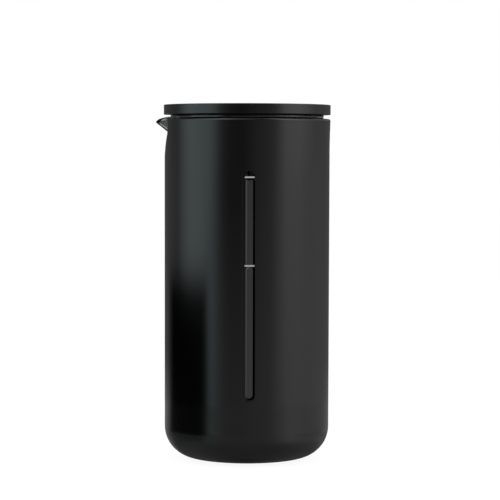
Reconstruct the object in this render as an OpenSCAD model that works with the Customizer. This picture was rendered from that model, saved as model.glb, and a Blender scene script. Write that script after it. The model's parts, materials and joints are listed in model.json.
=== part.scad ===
// French press: a glass beaker in a black shell, with a lid, a plunger and a screwed filter.
// Millimetres, +Z up, origin at the centre of the foot pad's underside.
// The spout points along -X and the sight window faces -Y.

/* [Shell] */
// Outside diameter of the shell where its rim begins to flare
body_d = 97.5; // [90:0.5:110]
// How much the shell's radius shrinks from there down to its bottom corner
draft = 0.15; // [0:0.05:1]
// Height of the shell's rim above the table
rim_h = 200.8; // [190:0.1:230]
// Thickness of the shell's wall
shell_t = 2.8; // [2:0.1:4]
// Thickness of the shell's floor
shell_floor_t = 4; // [3:0.1:6]
// Radius of the rounded bottom corner
corner_r = 18.6; // [12:0.1:24]
// How far the rim flares out past the body
flare = 0.45; // [0:0.05:1.5]
// Height of the flared stretch
flare_h = 17; // [10:0.5:30]
// Rounding of the rim's outer edge
rim_round = 1.2; // [0.2:0.1:1.5]

/* [Spout notch] */
// Depth of the notch below the rim
notch_depth = 21.5; // [18:0.5:26]
// Width of the notch at the rim
notch_w = 29; // [26:0.5:36]
// Radius at the bottom of the notch
notch_r = 5; // [4:0.5:7]
// Lean of the notch's lower flanks away from vertical, in degrees
notch_lean = 40; // [34:1:44]
// Depth below the rim at which the flanks turn steep
notch_knee = 8.8; // [6:0.1:11]

/* [Foot pad] */
// How far the foot pad stands proud of the shell
foot_proud = 0.6; // [0.2:0.1:1]
// Thickness of the foot pad
foot_t = 1.4; // [1.2:0.1:2.5]
// Diameter of the foot pad
foot_d = 54; // [40:1:58]

/* [Sight window] */
// Width of the slot in the shell
slot_w = 7; // [5:0.1:10]
// Height of the slot's lower end above the table
slot_low = 38.6; // [30:0.1:60]
// Distance of the slot's upper end below the rim
slot_drop = 30.2; // [26:0.1:45]
// Width of the raised rib that stands in the slot
rib_w = 4.8; // [3.5:0.1:4.9]
// Gap between the rib's lower end and the slot's lower end
rib_gap = 1.6; // [1:0.1:4]
// How far the rib's face lies below the shell's face
rib_depth = 0.35; // [0.2:0.05:0.8]
// How far the window's face beside the rib lies below the shell's face
window_depth = 1.7; // [1.2:0.1:2]
// How far the window's flange reaches past the slot behind the wall
window_lap = 2; // [1.5:0.1:3]
// Thickness of the window's flange
window_flange_t = 0.9; // [0.6:0.1:1]
// Distance of the upper level mark below the slot's upper end
mark_drop = 3.7; // [2.5:0.1:8]
// Distance between the two level marks
mark_step = 50.5; // [30:0.1:60]
// Height of a level mark
mark_h = 1.2; // [0.8:0.1:2]
// How far a level mark's face lies below the shell's face
mark_depth = 0.15; // [0.1:0.05:0.2]

/* [Glass beaker] */
// Gap all round between the glass and the shell's wall
beaker_gap = 0.85; // [0.7:0.05:1.5]
// Thickness of the glass wall
glass_t = 1.8; // [1.4:0.1:2.5]
// Thickness of the glass floor
glass_floor_t = 2.5; // [2:0.1:4]
// Height of the beaker's underside above the table
glass_low = 10.7; // [9:0.1:16]
// Outer radius of the beaker's bottom corner
glass_corner_r = 12; // [9:0.5:15]
// How far the glass rim stands above the shell's rim
rim_proud = 1.5; // [1:0.1:2.5]

/* [Spout] */
// Reach of the spout's tip past the glass wall
spout_reach = 10.2; // [7:0.1:11]
// Height of the tip's centre below the glass rim
spout_fall = 3.3; // [2:0.05:5]
// Depth of the spout's root below the glass rim
spout_depth = 11.2; // [9:0.1:13]
// Width of the spout at the glass rim
spout_w = 23; // [18:0.5:24]
// Radius of the spout's tip
spout_tip_r = 0.9; // [0.7:0.1:1.2]
// Radius of the round floor at the spout's root
spout_floor_r = 5; // [3:0.1:6]
// Height of the spout's upright sides at its root
spout_side_h = 3; // [2:0.5:5]

/* [Beaker seats] */
// Outer diameter of the cushion under the beaker
cushion_d = 60; // [50:1:66]
// Width of the cushion's raised ring
cushion_ring_w = 10; // [6:0.5:14]
// Thickness of the cushion's web
cushion_web_t = 1.6; // [1.2:0.1:2.5]
// Height of the rubber collar round the beaker
collar_h = 4.4; // [3:0.1:5]
// Distance of the collar's top below the notch
collar_drop = 1.8; // [1.5:0.1:3]
// Depth of the collar's groove in the shell's wall
collar_groove = 0.8; // [0.5:0.1:1.1]

/* [Lid] */
// Thickness of the lid's cover
cover_t = 0.7; // [0.6:0.1:2]
// How far the cover reaches past the glass wall
cover_over = 0.2; // [0:0.05:0.5]
// Gap between the lid's skirt and the glass
skirt_gap = 2; // [1.2:0.1:2.4]
// Thickness of the skirt
skirt_t = 3.2; // [2.8:0.1:4]
// Depth of the skirt below the glass rim
skirt_h = 15.8; // [15:0.1:19]
// Thickness of the web inside the skirt
web_t = 1.6; // [1.2:0.1:2.5]
// Depth of the web's upper face below the cover
web_drop = 2.3; // [2:0.1:3]
// Radius of the boss that holds the bush
boss_r = 9.5; // [8.5:0.1:12]
// Length of the boss below the web
boss_h = 9; // [6:0.5:12]
// Width of the pouring window in the skirt
pour_w = 22; // [16:0.5:24]
// Height of the pouring window in the skirt
pour_h = 4.6; // [3.5:0.1:5]
// Distance of the pouring window's top below the web
pour_drop = 0.5; // [0.3:0.1:1]
// Thickness of the strainer strip
strainer_t = 0.5; // [0.4:0.1:0.8]
// How far the strainer reaches past the pouring window
strainer_lap = 1.4; // [1:0.1:1.8]
// Width of a slit in the strainer
slit_w = 1.1; // [0.8:0.1:1.4]
// Number of slits in the strainer
slit_count = 9; // [5:2:11]
// Distance of a slit's ends inside the pouring window
slit_end = 0.4; // [0.2:0.1:1]
// Width left beside the outer slits, inside the pouring window
slit_side = 1; // [0.5:0.1:2]
// Number of lid screws
lid_screw_count = 3; // [2:1:6]
// Radius of the circle of lid screws
lid_screw_circle_r = 27; // [20:0.5:32]
// Depth of the seal's groove in the skirt's face
seal_groove = 1.4; // [1:0.1:1.6]
// Height of the lid seal
seal_h = 3.4; // [2.6:0.1:4]
// Distance of the seal above the skirt's lower edge
seal_rise = 1.2; // [0.8:0.1:2]

/* [Bush] */
// Outer radius of the bush
bush_r = 6; // [5:0.1:7]
// Radius of the bush's flange
bush_flange_r = 8; // [7.5:0.1:9]
// Thickness of the bush's flange
bush_flange_t = 1.4; // [1:0.1:2]
// How far the bush stands above the web
bush_top = 1.6; // [1.4:0.1:1.9]
// Outer radius of the clip that holds the bush
clip_r = 8; // [7.6:0.1:9]
// Thickness of the clip
clip_t = 0.8; // [0.6:0.1:1]
// Depth of the clip's groove in the bush
clip_groove = 0.8; // [0.5:0.1:1.2]
// Width of the clip's opening
clip_mouth = 7.2; // [6:0.1:9]

/* [Press disc] */
// Thickness of the press disc
disc_t = 5.8; // [5:0.1:9]
// How far the disc reaches past the shell's body
disc_over = 0.5; // [0:0.05:2]
// Thickness of the disc cap's top
cap_top_t = 2; // [1.5:0.1:2.2]
// Thickness of the disc cap's wall
cap_wall_t = 2.3; // [1.5:0.1:3]
// Rounding of the disc's outer edges
disc_round = 0.5; // [0.2:0.1:1]
// Thickness of the plate that closes the disc from below
disc_plate_t = 1.5; // [1.2:0.1:1.6]
// Gap between the resting disc and the lid
disc_gap = 0.2; // [0.1:0.05:0.5]
// Radius of the rod's threaded insert
insert_r = 11; // [9:0.5:14]
// Number of screws that hold the insert
insert_screw_count = 3; // [2:1:6]

/* [Rod] */
// Radius of the rod
rod_r = 3; // [2.8:0.1:4]
// Radius of the threads at the rod's ends
thread_r = 2.5; // [2:0.1:2.6]
// Radius of the collar above the filter
rod_collar_r = 7; // [5.5:0.1:9]
// Thickness of that collar
rod_collar_t = 2; // [1.5:0.1:4]
// Distance of the rod's lower end above the hub nut's lower face
rod_end_rise = 0.3; // [0.1:0.1:2]

/* [Filter] */
// Height of the filter pack's upper plate above the glass floor
filter_rise = 18.8; // [16:0.1:30]
// Thickness of the spring plate
spring_plate_t = 0.8; // [0.6:0.1:1.2]
// Height of the spring plate's upturned edge
spring_plate_lip_h = 2.4; // [1.5:0.1:3]
// Radius of the edge spring's coil
coil_r = 1.7; // [1.3:0.1:2]
// Thickness of the mesh screen
mesh_t = 0.3; // [0.2:0.05:0.5]
// Height of the mesh screen's upturned edge
mesh_lip_h = 4.1; // [3.5:0.1:5]
// Thickness of the cross plate
cross_t = 1; // [0.8:0.1:1.6]
// Distance of the cross plate's edge inside the mesh
cross_inset = 8; // [4:0.5:10]
// Width of the cross plate's ring and spokes
spoke_w = 5; // [4:0.5:7]
// Number of spokes
spoke_count = 8; // [4:1:10]
// Height of the hub nut
hub_h = 6.2; // [5:0.1:8]
// Width of the hub nut across its flats
hub_flats = 12; // [10:0.5:15]
// Radius of the holes in the spring plate
plate_hole_r = 3.6; // [2:0.1:4]
// Number of holes in the spring plate's inner circle
inner_hole_count = 8; // [4:1:10]
// Number of holes in the spring plate's outer circle
outer_hole_count = 16; // [8:1:20]
// Radius of the inner circle of holes
inner_circle_r = 16.5; // [14:0.5:18]
// Distance of the outer circle of holes inside the spring plate's edge
outer_circle_inset = 10.2; // [8:0.1:12]

/* [Fits] */
// Radial clearance of a shaft that turns or slides in its hole
running_fit = 0.05; // [0.02:0.01:0.1]
// Gap between fixed pieces that sit in each other
seat_fit = 0.05; // [0.02:0.01:0.15]
// Gap between soft or wiping pieces and the glass
wipe_gap = 0.3; // [0.2:0.05:0.5]
// Radius of a small screw's shank
screw_r = 1.25; // [1:0.05:1.5]
// Radius of a small screw's head
screw_head_r = 2.4; // [2:0.1:3]
// Height of a small screw's head
screw_head_h = 1.3; // [1:0.1:2]
// Radius of the socket in a small screw's head
socket_r = 0.8; // [0.6:0.1:1]
// Depth of the socket in a small screw's head
socket_depth = 0.8; // [0.5:0.1:0.9]
// Wall left round a small screw's head
screw_wall = 1; // [0.6:0.1:2]

/* [Hidden] */
$fn = 96;
fine = 32;
eps = 0.5;

body_r = body_d / 2;
base_r = body_r - draft;
rim_r = body_r + flare;
flare_z = rim_h - flare_h;
inner_r = body_r - shell_t;
floor_z = foot_proud + shell_floor_t;
inner_corner_r = corner_r - shell_t;

glass_r = inner_r - beaker_gap;
bore_r = glass_r - glass_t;
wipe_r = bore_r - wipe_gap;
bore_corner_r = glass_corner_r - glass_t;
glass_rim = rim_h + rim_proud;
glass_floor = glass_low + glass_floor_t;

slot_high = rim_h - slot_drop;
mark_high = slot_high - mark_drop;
mark_low = mark_high - mark_step;
notch_low = rim_h - notch_depth;
collar_top = notch_low - collar_drop;

cover_z = glass_rim + cover_t;
skirt_r = bore_r - skirt_gap;
skirt_in = skirt_r - skirt_t;
skirt_low = glass_rim - skirt_h;
web_high = glass_rim - web_drop;
web_low = web_high - web_t;
boss_low = web_low - boss_h;
seal_low = skirt_low + seal_rise;
pour_high = web_low - pour_drop;
pour_low = pour_high - pour_h;

disc_low = cover_z + disc_gap;
disc_high = disc_low + disc_t;
disc_r = body_r + disc_over;
cap_in = disc_r - cap_wall_t;
cap_ceiling = disc_high - cap_top_t;
plate_high = disc_low + disc_plate_t;
insert_circle_r = insert_r - screw_head_r - screw_wall;

pack_top = glass_floor + filter_rise;
spring_plate_low = pack_top - spring_plate_t;
mesh_low = spring_plate_low - mesh_t;
cross_low = mesh_low - cross_t;
hub_low = cross_low - hub_h;
coil_ring_r = wipe_r - mesh_t - seat_fit - coil_r;
spring_plate_r = coil_ring_r - coil_r - seat_fit;
cross_r = wipe_r - cross_inset;
thread_hole_r = thread_r + running_fit;

// ---- shared shapes ----

// A round disc or tube standing on height low
module tube(r, low, high, hole = 0) {
    translate([0, 0, low])
        difference() {
            cylinder(r = r, h = high - low);
            if (hole > 0) translate([0, 0, -eps]) cylinder(r = hole, h = high - low + 2 * eps);
        }
}

// Quarter disc that rounds the lower outside corner of a lathe profile
module round_corner(r) {
    intersection() {
        circle(r);
        translate([0, -r]) square(r);
    }
}

// Half section of a cup's outline: wall radius r, floor at low, bottom corner radius c, top edge at high
module cup_outline(r, low, high, c) {
    translate([0, low]) square([r - c, c]);
    translate([0, low + c]) square([r, high - low - c]);
    translate([r - c, low + c]) round_corner(c);
}

// Upright slot with round ends, cut or filled along Y from the axis outwards
module upright_slot(w, low, high) {
    rotate([90, 0, 0])
        linear_extrude(body_d) {
            translate([-w / 2, low + w / 2]) square([w, high - low - w]);
            for (z = [low + w / 2, high - w / 2]) translate([0, z]) circle(d = w);
        }
}

// Copies children n times round the axis
module round_axis(n) {
    for (i = [0 : n - 1]) rotate([0, 0, i * 360 / n]) children();
}

// ---- housing ----

module shell_outline() {
    translate([0, foot_proud]) square([base_r - corner_r, corner_r]);
    translate([base_r - corner_r, foot_proud + corner_r]) round_corner(corner_r);
    polygon([[0, foot_proud + corner_r], [base_r, foot_proud + corner_r], [body_r, flare_z],
        [rim_r, rim_h - rim_round], [rim_r - rim_round, rim_h], [0, rim_h]]);
}

// Points along an arc of radius r round centre c, from angle a0 to a1 in n steps
function arc(c, r, a0, a1, n = 12) =
    [for (i = [0 : n]) let (a = a0 + (a1 - a0) * i / n) c + r * [cos(a), sin(a)]];

// Side view of the notch, as a (Y, Z) outline
module notch_outline() {
    knee_z = rim_h - notch_knee;
    round_end = arc([0, notch_low + notch_r], notch_r, notch_lean - 180, -notch_lean);
    touch = round_end[len(round_end) - 1];
    knee_y = touch[0] + (knee_z - touch[1]) * tan(notch_lean);
    polygon(concat(round_end, [[knee_y, knee_z], [notch_w / 2, rim_h + eps],
        [-notch_w / 2, rim_h + eps], [-knee_y, knee_z]]));
}

module outer_shell() {
    color([0.05, 0.05, 0.055])
    difference() {
        rotate_extrude() shell_outline();
        rotate_extrude() cup_outline(inner_r, floor_z, rim_h + eps, inner_corner_r);
        rotate([90, 0, -90]) linear_extrude(body_d) notch_outline();
        upright_slot(slot_w, slot_low, slot_high);
        window_pocket();
        tube(inner_r + collar_groove, collar_top - collar_h, collar_top);
        tube(foot_d / 2 + seat_fit, foot_proud - eps, foot_t);
    }
}

// Shallow pocket behind the slot that seats the window's flange
module window_pocket() {
    intersection() {
        upright_slot(slot_w + 2 * window_lap, slot_low - window_lap, slot_high + window_lap);
        tube(inner_r + window_flange_t, 0, rim_h, inner_r - eps);
    }
}

module sight_window() {
    lap = window_lap - seat_fit;
    color([0.2, 0.2, 0.21])
    union() {
        intersection() {
            upright_slot(slot_w + 2 * lap, slot_low - lap, slot_high + lap);
            tube(inner_r + window_flange_t - seat_fit, 0, rim_h, inner_r);
        }
        intersection() {
            upright_slot(slot_w - 2 * seat_fit, slot_low + seat_fit, slot_high - seat_fit);
            tube(body_r - window_depth, 0, rim_h, inner_r);
        }
        window_rib(0);
    }
}

// The raised rib, grown by grow on each side
module window_rib(grow) {
    intersection() {
        upright_slot(rib_w + 2 * grow, slot_low + rib_gap - grow, mark_high + rib_w / 2 + grow);
        tube(body_r - rib_depth + grow, 0, mark_high, inner_r);
    }
}

module level_marks() {
    color([0.75, 0.75, 0.73])
    for (z = [mark_low, mark_high])
        difference() {
            intersection() {
                tube(body_r - mark_depth, z - mark_h / 2, z + mark_h / 2, body_r - window_depth);
                upright_slot(slot_w - 2 * seat_fit, slot_low, slot_high);
            }
            window_rib(seat_fit / 2);
        }
}

module foot_pad() {
    color([0.09, 0.09, 0.09]) tube(foot_d / 2, 0, foot_t);
}

module beaker_cushion() {
    ring_in = cushion_d / 2 - cushion_ring_w;
    color([0.3, 0.3, 0.3])
    rotate_extrude() {
        translate([0, floor_z]) square([cushion_d / 2, cushion_web_t]);
        translate([ring_in, floor_z]) square([cushion_ring_w, glass_low - floor_z]);
    }
}

module beaker_collar() {
    color([0.12, 0.12, 0.12])
        tube(inner_r + collar_groove - seat_fit, collar_top - collar_h + seat_fit, collar_top - seat_fit,
            glass_r + wipe_gap);
}

// ---- beaker ----

// The spout's solid form; inset thins it on every side, and rise lifts its open top
module spout_form(inset, rise) {
    root_r = bore_r - (inset > 0 ? eps : 0);
    side_r = 2 * eps;
    tip_r = max(0.3, spout_tip_r - inset);
    tip_x = glass_r + spout_reach - spout_tip_r - 2 * inset;
    tip_z = glass_rim - spout_fall + inset / 2;
    hull() {
        translate([-root_r, 0, 0]) {
            for (side = [-1, 1])
                translate([0, side * (spout_w / 2 - inset - side_r), glass_rim - spout_side_h])
                    cylinder(r = side_r, h = spout_side_h + rise, $fn = fine);
            translate([0, 0, glass_rim - spout_depth + spout_floor_r])
                rotate([0, 90, 0]) cylinder(r = spout_floor_r - inset, h = 2 * eps, $fn = fine);
        }
        translate([-tip_x, 0, tip_z]) {
            sphere(r = tip_r, $fn = fine);
            cylinder(r = tip_r, h = spout_tip_r + rise, $fn = fine);
        }
    }
}

module glass_beaker() {
    color([0.35, 0.36, 0.37, 0.5])
    difference() {
        union() {
            rotate_extrude() cup_outline(glass_r, glass_low, glass_rim, glass_corner_r);
            spout_form(0, 0);
        }
        rotate_extrude() cup_outline(bore_r, glass_floor, glass_rim + eps, bore_corner_r);
        spout_form(glass_t, spout_depth);
    }
}

// ---- lid ----

module lid_seal() {
    groove_r = skirt_r - seal_groove;
    lip = seal_h / 4;
    color([0.15, 0.15, 0.15])
    rotate_extrude()
        polygon([[groove_r + seat_fit, seal_low + seat_fit], [skirt_r, seal_low + seat_fit],
            [wipe_r, seal_low + lip], [skirt_r, seal_low + 2 * lip], [wipe_r, seal_low + 3 * lip],
            [skirt_r, seal_low + seal_h - seat_fit], [groove_r + seat_fit, seal_low + seal_h - seat_fit]]);
}

module lid_cover() {
    color([0.05, 0.05, 0.055])
    difference() {
        union() {
            tube(glass_r + cover_over, glass_rim, cover_z);
            round_axis(lid_screw_count)
                translate([lid_screw_circle_r, 0, 0]) tube(screw_head_r + screw_wall, web_high, cover_z);
        }
        tube(rod_r + wipe_gap, web_high, cover_z + eps);
        round_axis(lid_screw_count)
            translate([lid_screw_circle_r, 0, 0])
                tube(screw_r + seat_fit, web_high - eps, glass_rim + cover_t / 2);
    }
}

module lid_core() {
    color([0.09, 0.09, 0.09])
    difference() {
        union() {
            tube(skirt_r, skirt_low, glass_rim, skirt_in);
            tube(skirt_in + eps, web_low, web_high);
            tube(boss_r, boss_low, web_high);
        }
        tube(skirt_r + eps, seal_low, seal_low + seal_h, skirt_r - seal_groove);
        tube(bush_r + running_fit, boss_low - eps, web_high + eps);
        round_axis(lid_screw_count)
            translate([lid_screw_circle_r, 0, 0]) tube(screw_r + seat_fit, web_low - eps, web_high + eps);
        translate([-skirt_r - eps, -pour_w / 2, pour_low]) cube([skirt_r / 2, pour_w, pour_h]);
    }
}

module lid_screws() {
    head_low = web_low - screw_head_h;
    color([0.7, 0.7, 0.7])
    round_axis(lid_screw_count)
        translate([lid_screw_circle_r, 0, 0])
            difference() {
                union() {
                    tube(screw_r, web_low - seat_fit, glass_rim + cover_t / 2 - seat_fit);
                    tube(screw_head_r, head_low, web_low);
                }
                tube(socket_r, head_low - eps, head_low + socket_depth);
            }
}

module pour_strainer() {
    out_r = skirt_in - seat_fit;
    low = pour_low - strainer_lap;
    high = web_low - seat_fit;
    strip_w = pour_w + 2 * strainer_lap;
    pitch = (pour_w - 2 * slit_side) / slit_count;
    color([0.75, 0.75, 0.76])
    difference() {
        intersection() {
            tube(out_r, low, high, out_r - strainer_t);
            translate([-skirt_r, -strip_w / 2, low]) cube([skirt_r / 2, strip_w, high - low]);
        }
        for (i = [0 : slit_count - 1])
            translate([-skirt_r, (i - (slit_count - 1) / 2) * pitch - slit_w / 2, pour_low + slit_end])
                cube([skirt_r / 2, slit_w, pour_h - 2 * slit_end]);
    }
}

// ---- bush ----

module rod_bush() {
    groove_low = web_high + seat_fit;
    color([0.85, 0.85, 0.83])
    difference() {
        union() {
            tube(bush_r, boss_low - eps, web_high + bush_top);
            tube(bush_flange_r, boss_low - seat_fit - bush_flange_t, boss_low - seat_fit);
        }
        tube(bush_r + eps, groove_low, groove_low + clip_t + 2 * seat_fit, bush_r - clip_groove);
        tube(rod_r + running_fit, boss_low - 2 * bush_flange_t, web_high + bush_top + eps);
    }
}

module bush_clip() {
    low = web_high + 2 * seat_fit;
    color([0.72, 0.72, 0.73])
    difference() {
        tube(clip_r, low, low + clip_t, bush_r - clip_groove + seat_fit);
        translate([0, -clip_mouth / 2, low - eps]) cube([clip_r + eps, clip_mouth, clip_t + 2 * eps]);
    }
}

// ---- plunger ----

module disc_cap() {
    color([0.05, 0.05, 0.055])
    difference() {
        rotate_extrude()
            polygon([[0, disc_low], [disc_r - disc_round, disc_low], [disc_r, disc_low + disc_round],
                [disc_r, disc_high - disc_round], [disc_r - disc_round, disc_high], [0, disc_high]]);
        tube(cap_in, disc_low - eps, cap_ceiling);
    }
}

module disc_plate() {
    color([0.07, 0.07, 0.07])
    difference() {
        tube(cap_in - seat_fit, disc_low, plate_high, rod_r + seat_fit);
        round_axis(insert_screw_count)
            translate([insert_circle_r, 0, 0]) tube(screw_r + seat_fit, disc_low - eps, plate_high + eps);
    }
}

module rod_insert() {
    color([0.8, 0.65, 0.3])
    difference() {
        tube(insert_r, plate_high, cap_ceiling - seat_fit, thread_hole_r);
        round_axis(insert_screw_count)
            translate([insert_circle_r, 0, 0]) tube(screw_r + seat_fit, plate_high - eps, cap_ceiling + eps);
    }
}

module insert_screws() {
    color([0.7, 0.7, 0.7])
    round_axis(insert_screw_count)
        translate([insert_circle_r, 0, 0]) tube(screw_r, disc_low, cap_ceiling - 2 * seat_fit);
}

module plunger_rod() {
    color([0.78, 0.78, 0.79])
    union() {
        tube(thread_r, hub_low + rod_end_rise, pack_top);
        tube(rod_r, pack_top, plate_high - seat_fit);
        tube(thread_r, plate_high - 2 * seat_fit, cap_ceiling - 2 * seat_fit);
    }
}

module rod_collar() {
    color([0.72, 0.72, 0.73]) tube(rod_collar_r, pack_top, pack_top + rod_collar_t, rod_r + seat_fit);
}

// ---- filter ----

module spring_plate() {
    lip_r = spring_plate_r - spring_plate_t;
    color([0.74, 0.74, 0.75])
    difference() {
        union() {
            tube(spring_plate_r, spring_plate_low, pack_top);
            tube(spring_plate_r, pack_top - eps / 2, pack_top + spring_plate_lip_h, lip_r);
        }
        tube(thread_hole_r, spring_plate_low - eps, pack_top + eps);
        plate_holes(inner_hole_count, inner_circle_r);
        plate_holes(outer_hole_count, spring_plate_r - outer_circle_inset);
    }
}

// One circle of the spring plate's holes
module plate_holes(count, circle_r) {
    round_axis(count)
        translate([circle_r, 0, 0]) tube(plate_hole_r, spring_plate_low - eps, pack_top + eps);
}

module edge_spring() {
    color([0.7, 0.7, 0.71])
    translate([0, 0, spring_plate_low + seat_fit + coil_r])
        rotate_extrude() translate([coil_ring_r, 0]) circle(coil_r, $fn = fine);
}

module mesh_screen() {
    color([0.6, 0.6, 0.6])
    difference() {
        union() {
            tube(wipe_r, mesh_low, spring_plate_low);
            tube(wipe_r, mesh_low, mesh_low + mesh_lip_h, wipe_r - mesh_t);
        }
        tube(thread_hole_r, mesh_low - eps, spring_plate_low + eps);
    }
}

module cross_plate() {
    color([0.74, 0.74, 0.75])
    difference() {
        union() {
            tube(cross_r, cross_low, mesh_low, cross_r - spoke_w);
            tube(hub_flats / 2 + spoke_w, cross_low, mesh_low);
            round_axis(spoke_count)
                translate([0, -spoke_w / 2, cross_low]) cube([cross_r - spoke_w / 2, spoke_w, cross_t]);
        }
        tube(thread_hole_r, cross_low - eps, mesh_low + eps);
    }
}

module hub_nut() {
    color([0.76, 0.76, 0.77])
    translate([0, 0, hub_low])
        difference() {
            cylinder(r = hub_flats / 2 / cos(30), h = hub_h, $fn = 6);
            translate([0, 0, -eps]) cylinder(r = thread_hole_r, h = hub_h + 2 * eps);
        }
}

outer_shell();
sight_window();
level_marks();
foot_pad();
beaker_cushion();
beaker_collar();
glass_beaker();
lid_seal();
lid_cover();
lid_core();
lid_screws();
pour_strainer();
rod_bush();
bush_clip();
disc_cap();
disc_plate();
rod_insert();
insert_screws();
plunger_rod();
rod_collar();
spring_plate();
edge_spring();
mesh_screen();
cross_plate();
hub_nut();
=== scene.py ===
import json
from functools import partial
from math import asin, atan2, ceil, cos, pi, radians, sin, sqrt, tan

import bmesh
import bpy
from mathutils import Matrix, Vector


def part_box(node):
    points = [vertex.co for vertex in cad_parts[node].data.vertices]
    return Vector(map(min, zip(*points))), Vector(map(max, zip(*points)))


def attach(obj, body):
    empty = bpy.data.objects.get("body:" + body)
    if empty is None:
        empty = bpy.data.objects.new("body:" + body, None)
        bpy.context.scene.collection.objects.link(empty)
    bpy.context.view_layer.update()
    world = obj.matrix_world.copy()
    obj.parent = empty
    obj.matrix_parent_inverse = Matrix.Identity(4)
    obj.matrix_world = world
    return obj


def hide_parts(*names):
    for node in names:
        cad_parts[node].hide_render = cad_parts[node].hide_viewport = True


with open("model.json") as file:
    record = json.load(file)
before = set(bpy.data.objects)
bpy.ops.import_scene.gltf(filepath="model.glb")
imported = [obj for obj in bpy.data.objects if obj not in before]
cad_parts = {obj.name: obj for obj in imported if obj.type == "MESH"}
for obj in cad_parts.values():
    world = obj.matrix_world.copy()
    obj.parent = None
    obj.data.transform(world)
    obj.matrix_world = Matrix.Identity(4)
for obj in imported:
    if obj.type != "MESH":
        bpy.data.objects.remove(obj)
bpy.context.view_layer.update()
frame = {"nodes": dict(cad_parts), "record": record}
record = frame["record"]
scene = bpy.context.scene
mm = 0.001
weldWithin = 0.0006   # mm, points closer than this become one
fullTurn = 2 * pi
bodyOf = {node: body for body, nodes in record["behaviour"]["bodies"].items() for node in nodes}
slotOf = {part["node"]: part["material_slot"] for part in record["subparts"]}
front = radians(-90)
spoutSide = radians(180)


# camera
cameraSetup = {
    "distance": 1.2607,   # from the press's axis, along the floor
    "azimuth": 1.35,      # degrees towards the spout
    "height": 0.1808,
    "pitch": 2.613,       # degrees down
    "aside": 0.083,       # degrees that it looks past the axis
    "roll": 0.14,
    "lens": 153.35,
}


def addCamera(setup):
    data = bpy.data.cameras.new("camera")
    data.lens, data.sensor_width = setup["lens"], 36
    data.clip_start, data.clip_end = 0.01, 50
    turn = radians(setup["azimuth"])
    place = Vector((-sin(turn), -cos(turn), 0)) * setup["distance"]
    place.z = setup["height"]
    yaw = Matrix.Rotation(-turn - radians(setup["aside"]), 4, "Z")
    tilt = Matrix.Rotation(radians(90 - setup["pitch"]), 4, "X")
    roll = Matrix.Rotation(radians(setup["roll"]), 4, "Z")
    scene.camera = newObject("camera", data)
    scene.camera.matrix_world = Matrix.Translation(place) @ yaw @ tilt @ roll


def newObject(name, data):
    made = bpy.data.objects.new(name, data)
    scene.collection.objects.link(made)
    return made


addCamera(cameraSetup)
scene.view_settings.view_transform = "Standard"
scene.view_settings.look = "None"
print("camera ready")


# mesh helpers, in millimetres
def roundBox(node):                  # radius, lowest and highest level of a CAD node
    low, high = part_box(node)
    return high.x / mm, low.z / mm, high.z / mm


def evenly(start, end, count):
    return [start + (end - start) * i / count for i in range(count + 1)]


def polar(r, angle, z):
    return Vector((r * cos(angle), r * sin(angle), z))


def circle(r, z, steps):             # a single point where the radius is nothing
    return [polar(r, fullTurn * i / steps, z) for i in range(steps if r > 1e-6 else 1)]


def roundedLine(points, steps=5):    # points are (across, up) or (across, up, corner radius)
    line = []
    last = len(points) - 1
    for i, point in enumerate(points):
        here = Vector(point[:2])
        radius = point[2] if len(point) > 2 and 0 < i < last else 0
        if radius == 0:
            line.append(here)
            continue
        before = (Vector(points[i - 1][:2]) - here).normalized()
        after = (Vector(points[i + 1][:2]) - here).normalized()
        half = before.angle(after) / 2
        centre = here + (before + after).normalized() * radius / sin(half)
        start = here + before * radius / tan(half) - centre
        end = here + after * radius / tan(half) - centre
        first = atan2(start.y, start.x)
        sweep = atan2(end.y, end.x) - first
        sweep -= fullTurn * round(sweep / fullTurn)
        for turn in evenly(first, first + sweep, steps):
            line.append(centre + Vector((cos(turn), sin(turn))) * radius)
    return line


def supported(line, gap=0.12):       # extra points keep the shading of flats flat beside a rounding
    full = []
    for here, there in zip(line, line[1:]):
        full.append(here)
        length = (there - here).length
        if length > 5 * gap:
            full += [here.lerp(there, gap / length), there.lerp(here, gap / length)]
    return full + [line[-1]]


def subdivided(line, longest):
    full = []
    for here, there in zip(line, line[1:]):
        count = max(1, ceil((there - here).length / longest))
        full += [here.lerp(there, i / count) for i in range(count)]
    return full + [line[-1]]


def wallPoint(side, across, radius, z):   # a point on a round wall, sideways from the direction side
    depth = sqrt(radius * radius - across * across)
    return Vector((cos(side) * depth - sin(side) * across, sin(side) * depth + cos(side) * across, z))


def columnRing(columns, radius, z, least=1e-6):   # a level of a round wall, or its middle
    if radius < least:
        return [Vector((0, 0, z))]
    return [wallPoint(side, across, radius, z) for side, across, *_ in columns]


def onWall(outline, side, radius):
    return [wallPoint(side, across, radius, z) for across, z in outline]


def blended(start, end, share):      # one outline or loop on its way to another
    if isinstance(start[0], Vector):
        return [a.lerp(b, share) for a, b in zip(start, end)]
    return [(x + (u - x) * share, z + (w - z) * share) for (x, z), (u, w) in zip(start, end)]


def addFace(bm, *corners):           # leaves out corners that repeat, and faces that shrink to a line
    ring = list(dict.fromkeys(corners))
    if len(ring) > 2:
        bm.faces.new(ring)


def addRows(bm, rows, closed=True):
    made = [[bm.verts.new(point) for point in row] for row in rows]
    for lower, upper in zip(made, made[1:]):
        m, n = len(lower), len(upper)
        for i in range(max(m, n) - (0 if closed else 1)):
            addFace(bm, lower[i % m], lower[(i + 1) % m], upper[(i + 1) % n], upper[i % n])
    return made


def capRows(bm, *loops):             # closes oblong loops with strips from their left to their right side
    for loop in loops:
        for i in range(len(loop) // 2):
            addFace(bm, loop[i], loop[i + 1], loop[-i - 1], loop[-i])


def addLathe(bm, points, steps=160, arcSteps=5):
    addRows(bm, [circle(r, z, steps) for r, z in supported(roundedLine(points, arcSteps))])


def mirrored(right, shift=0.0):      # an outline's right side, then the same on its left
    return [(x + shift, z) for x, z in right + [(-x, z) for x, z in reversed(right[1:-1])]]


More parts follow.
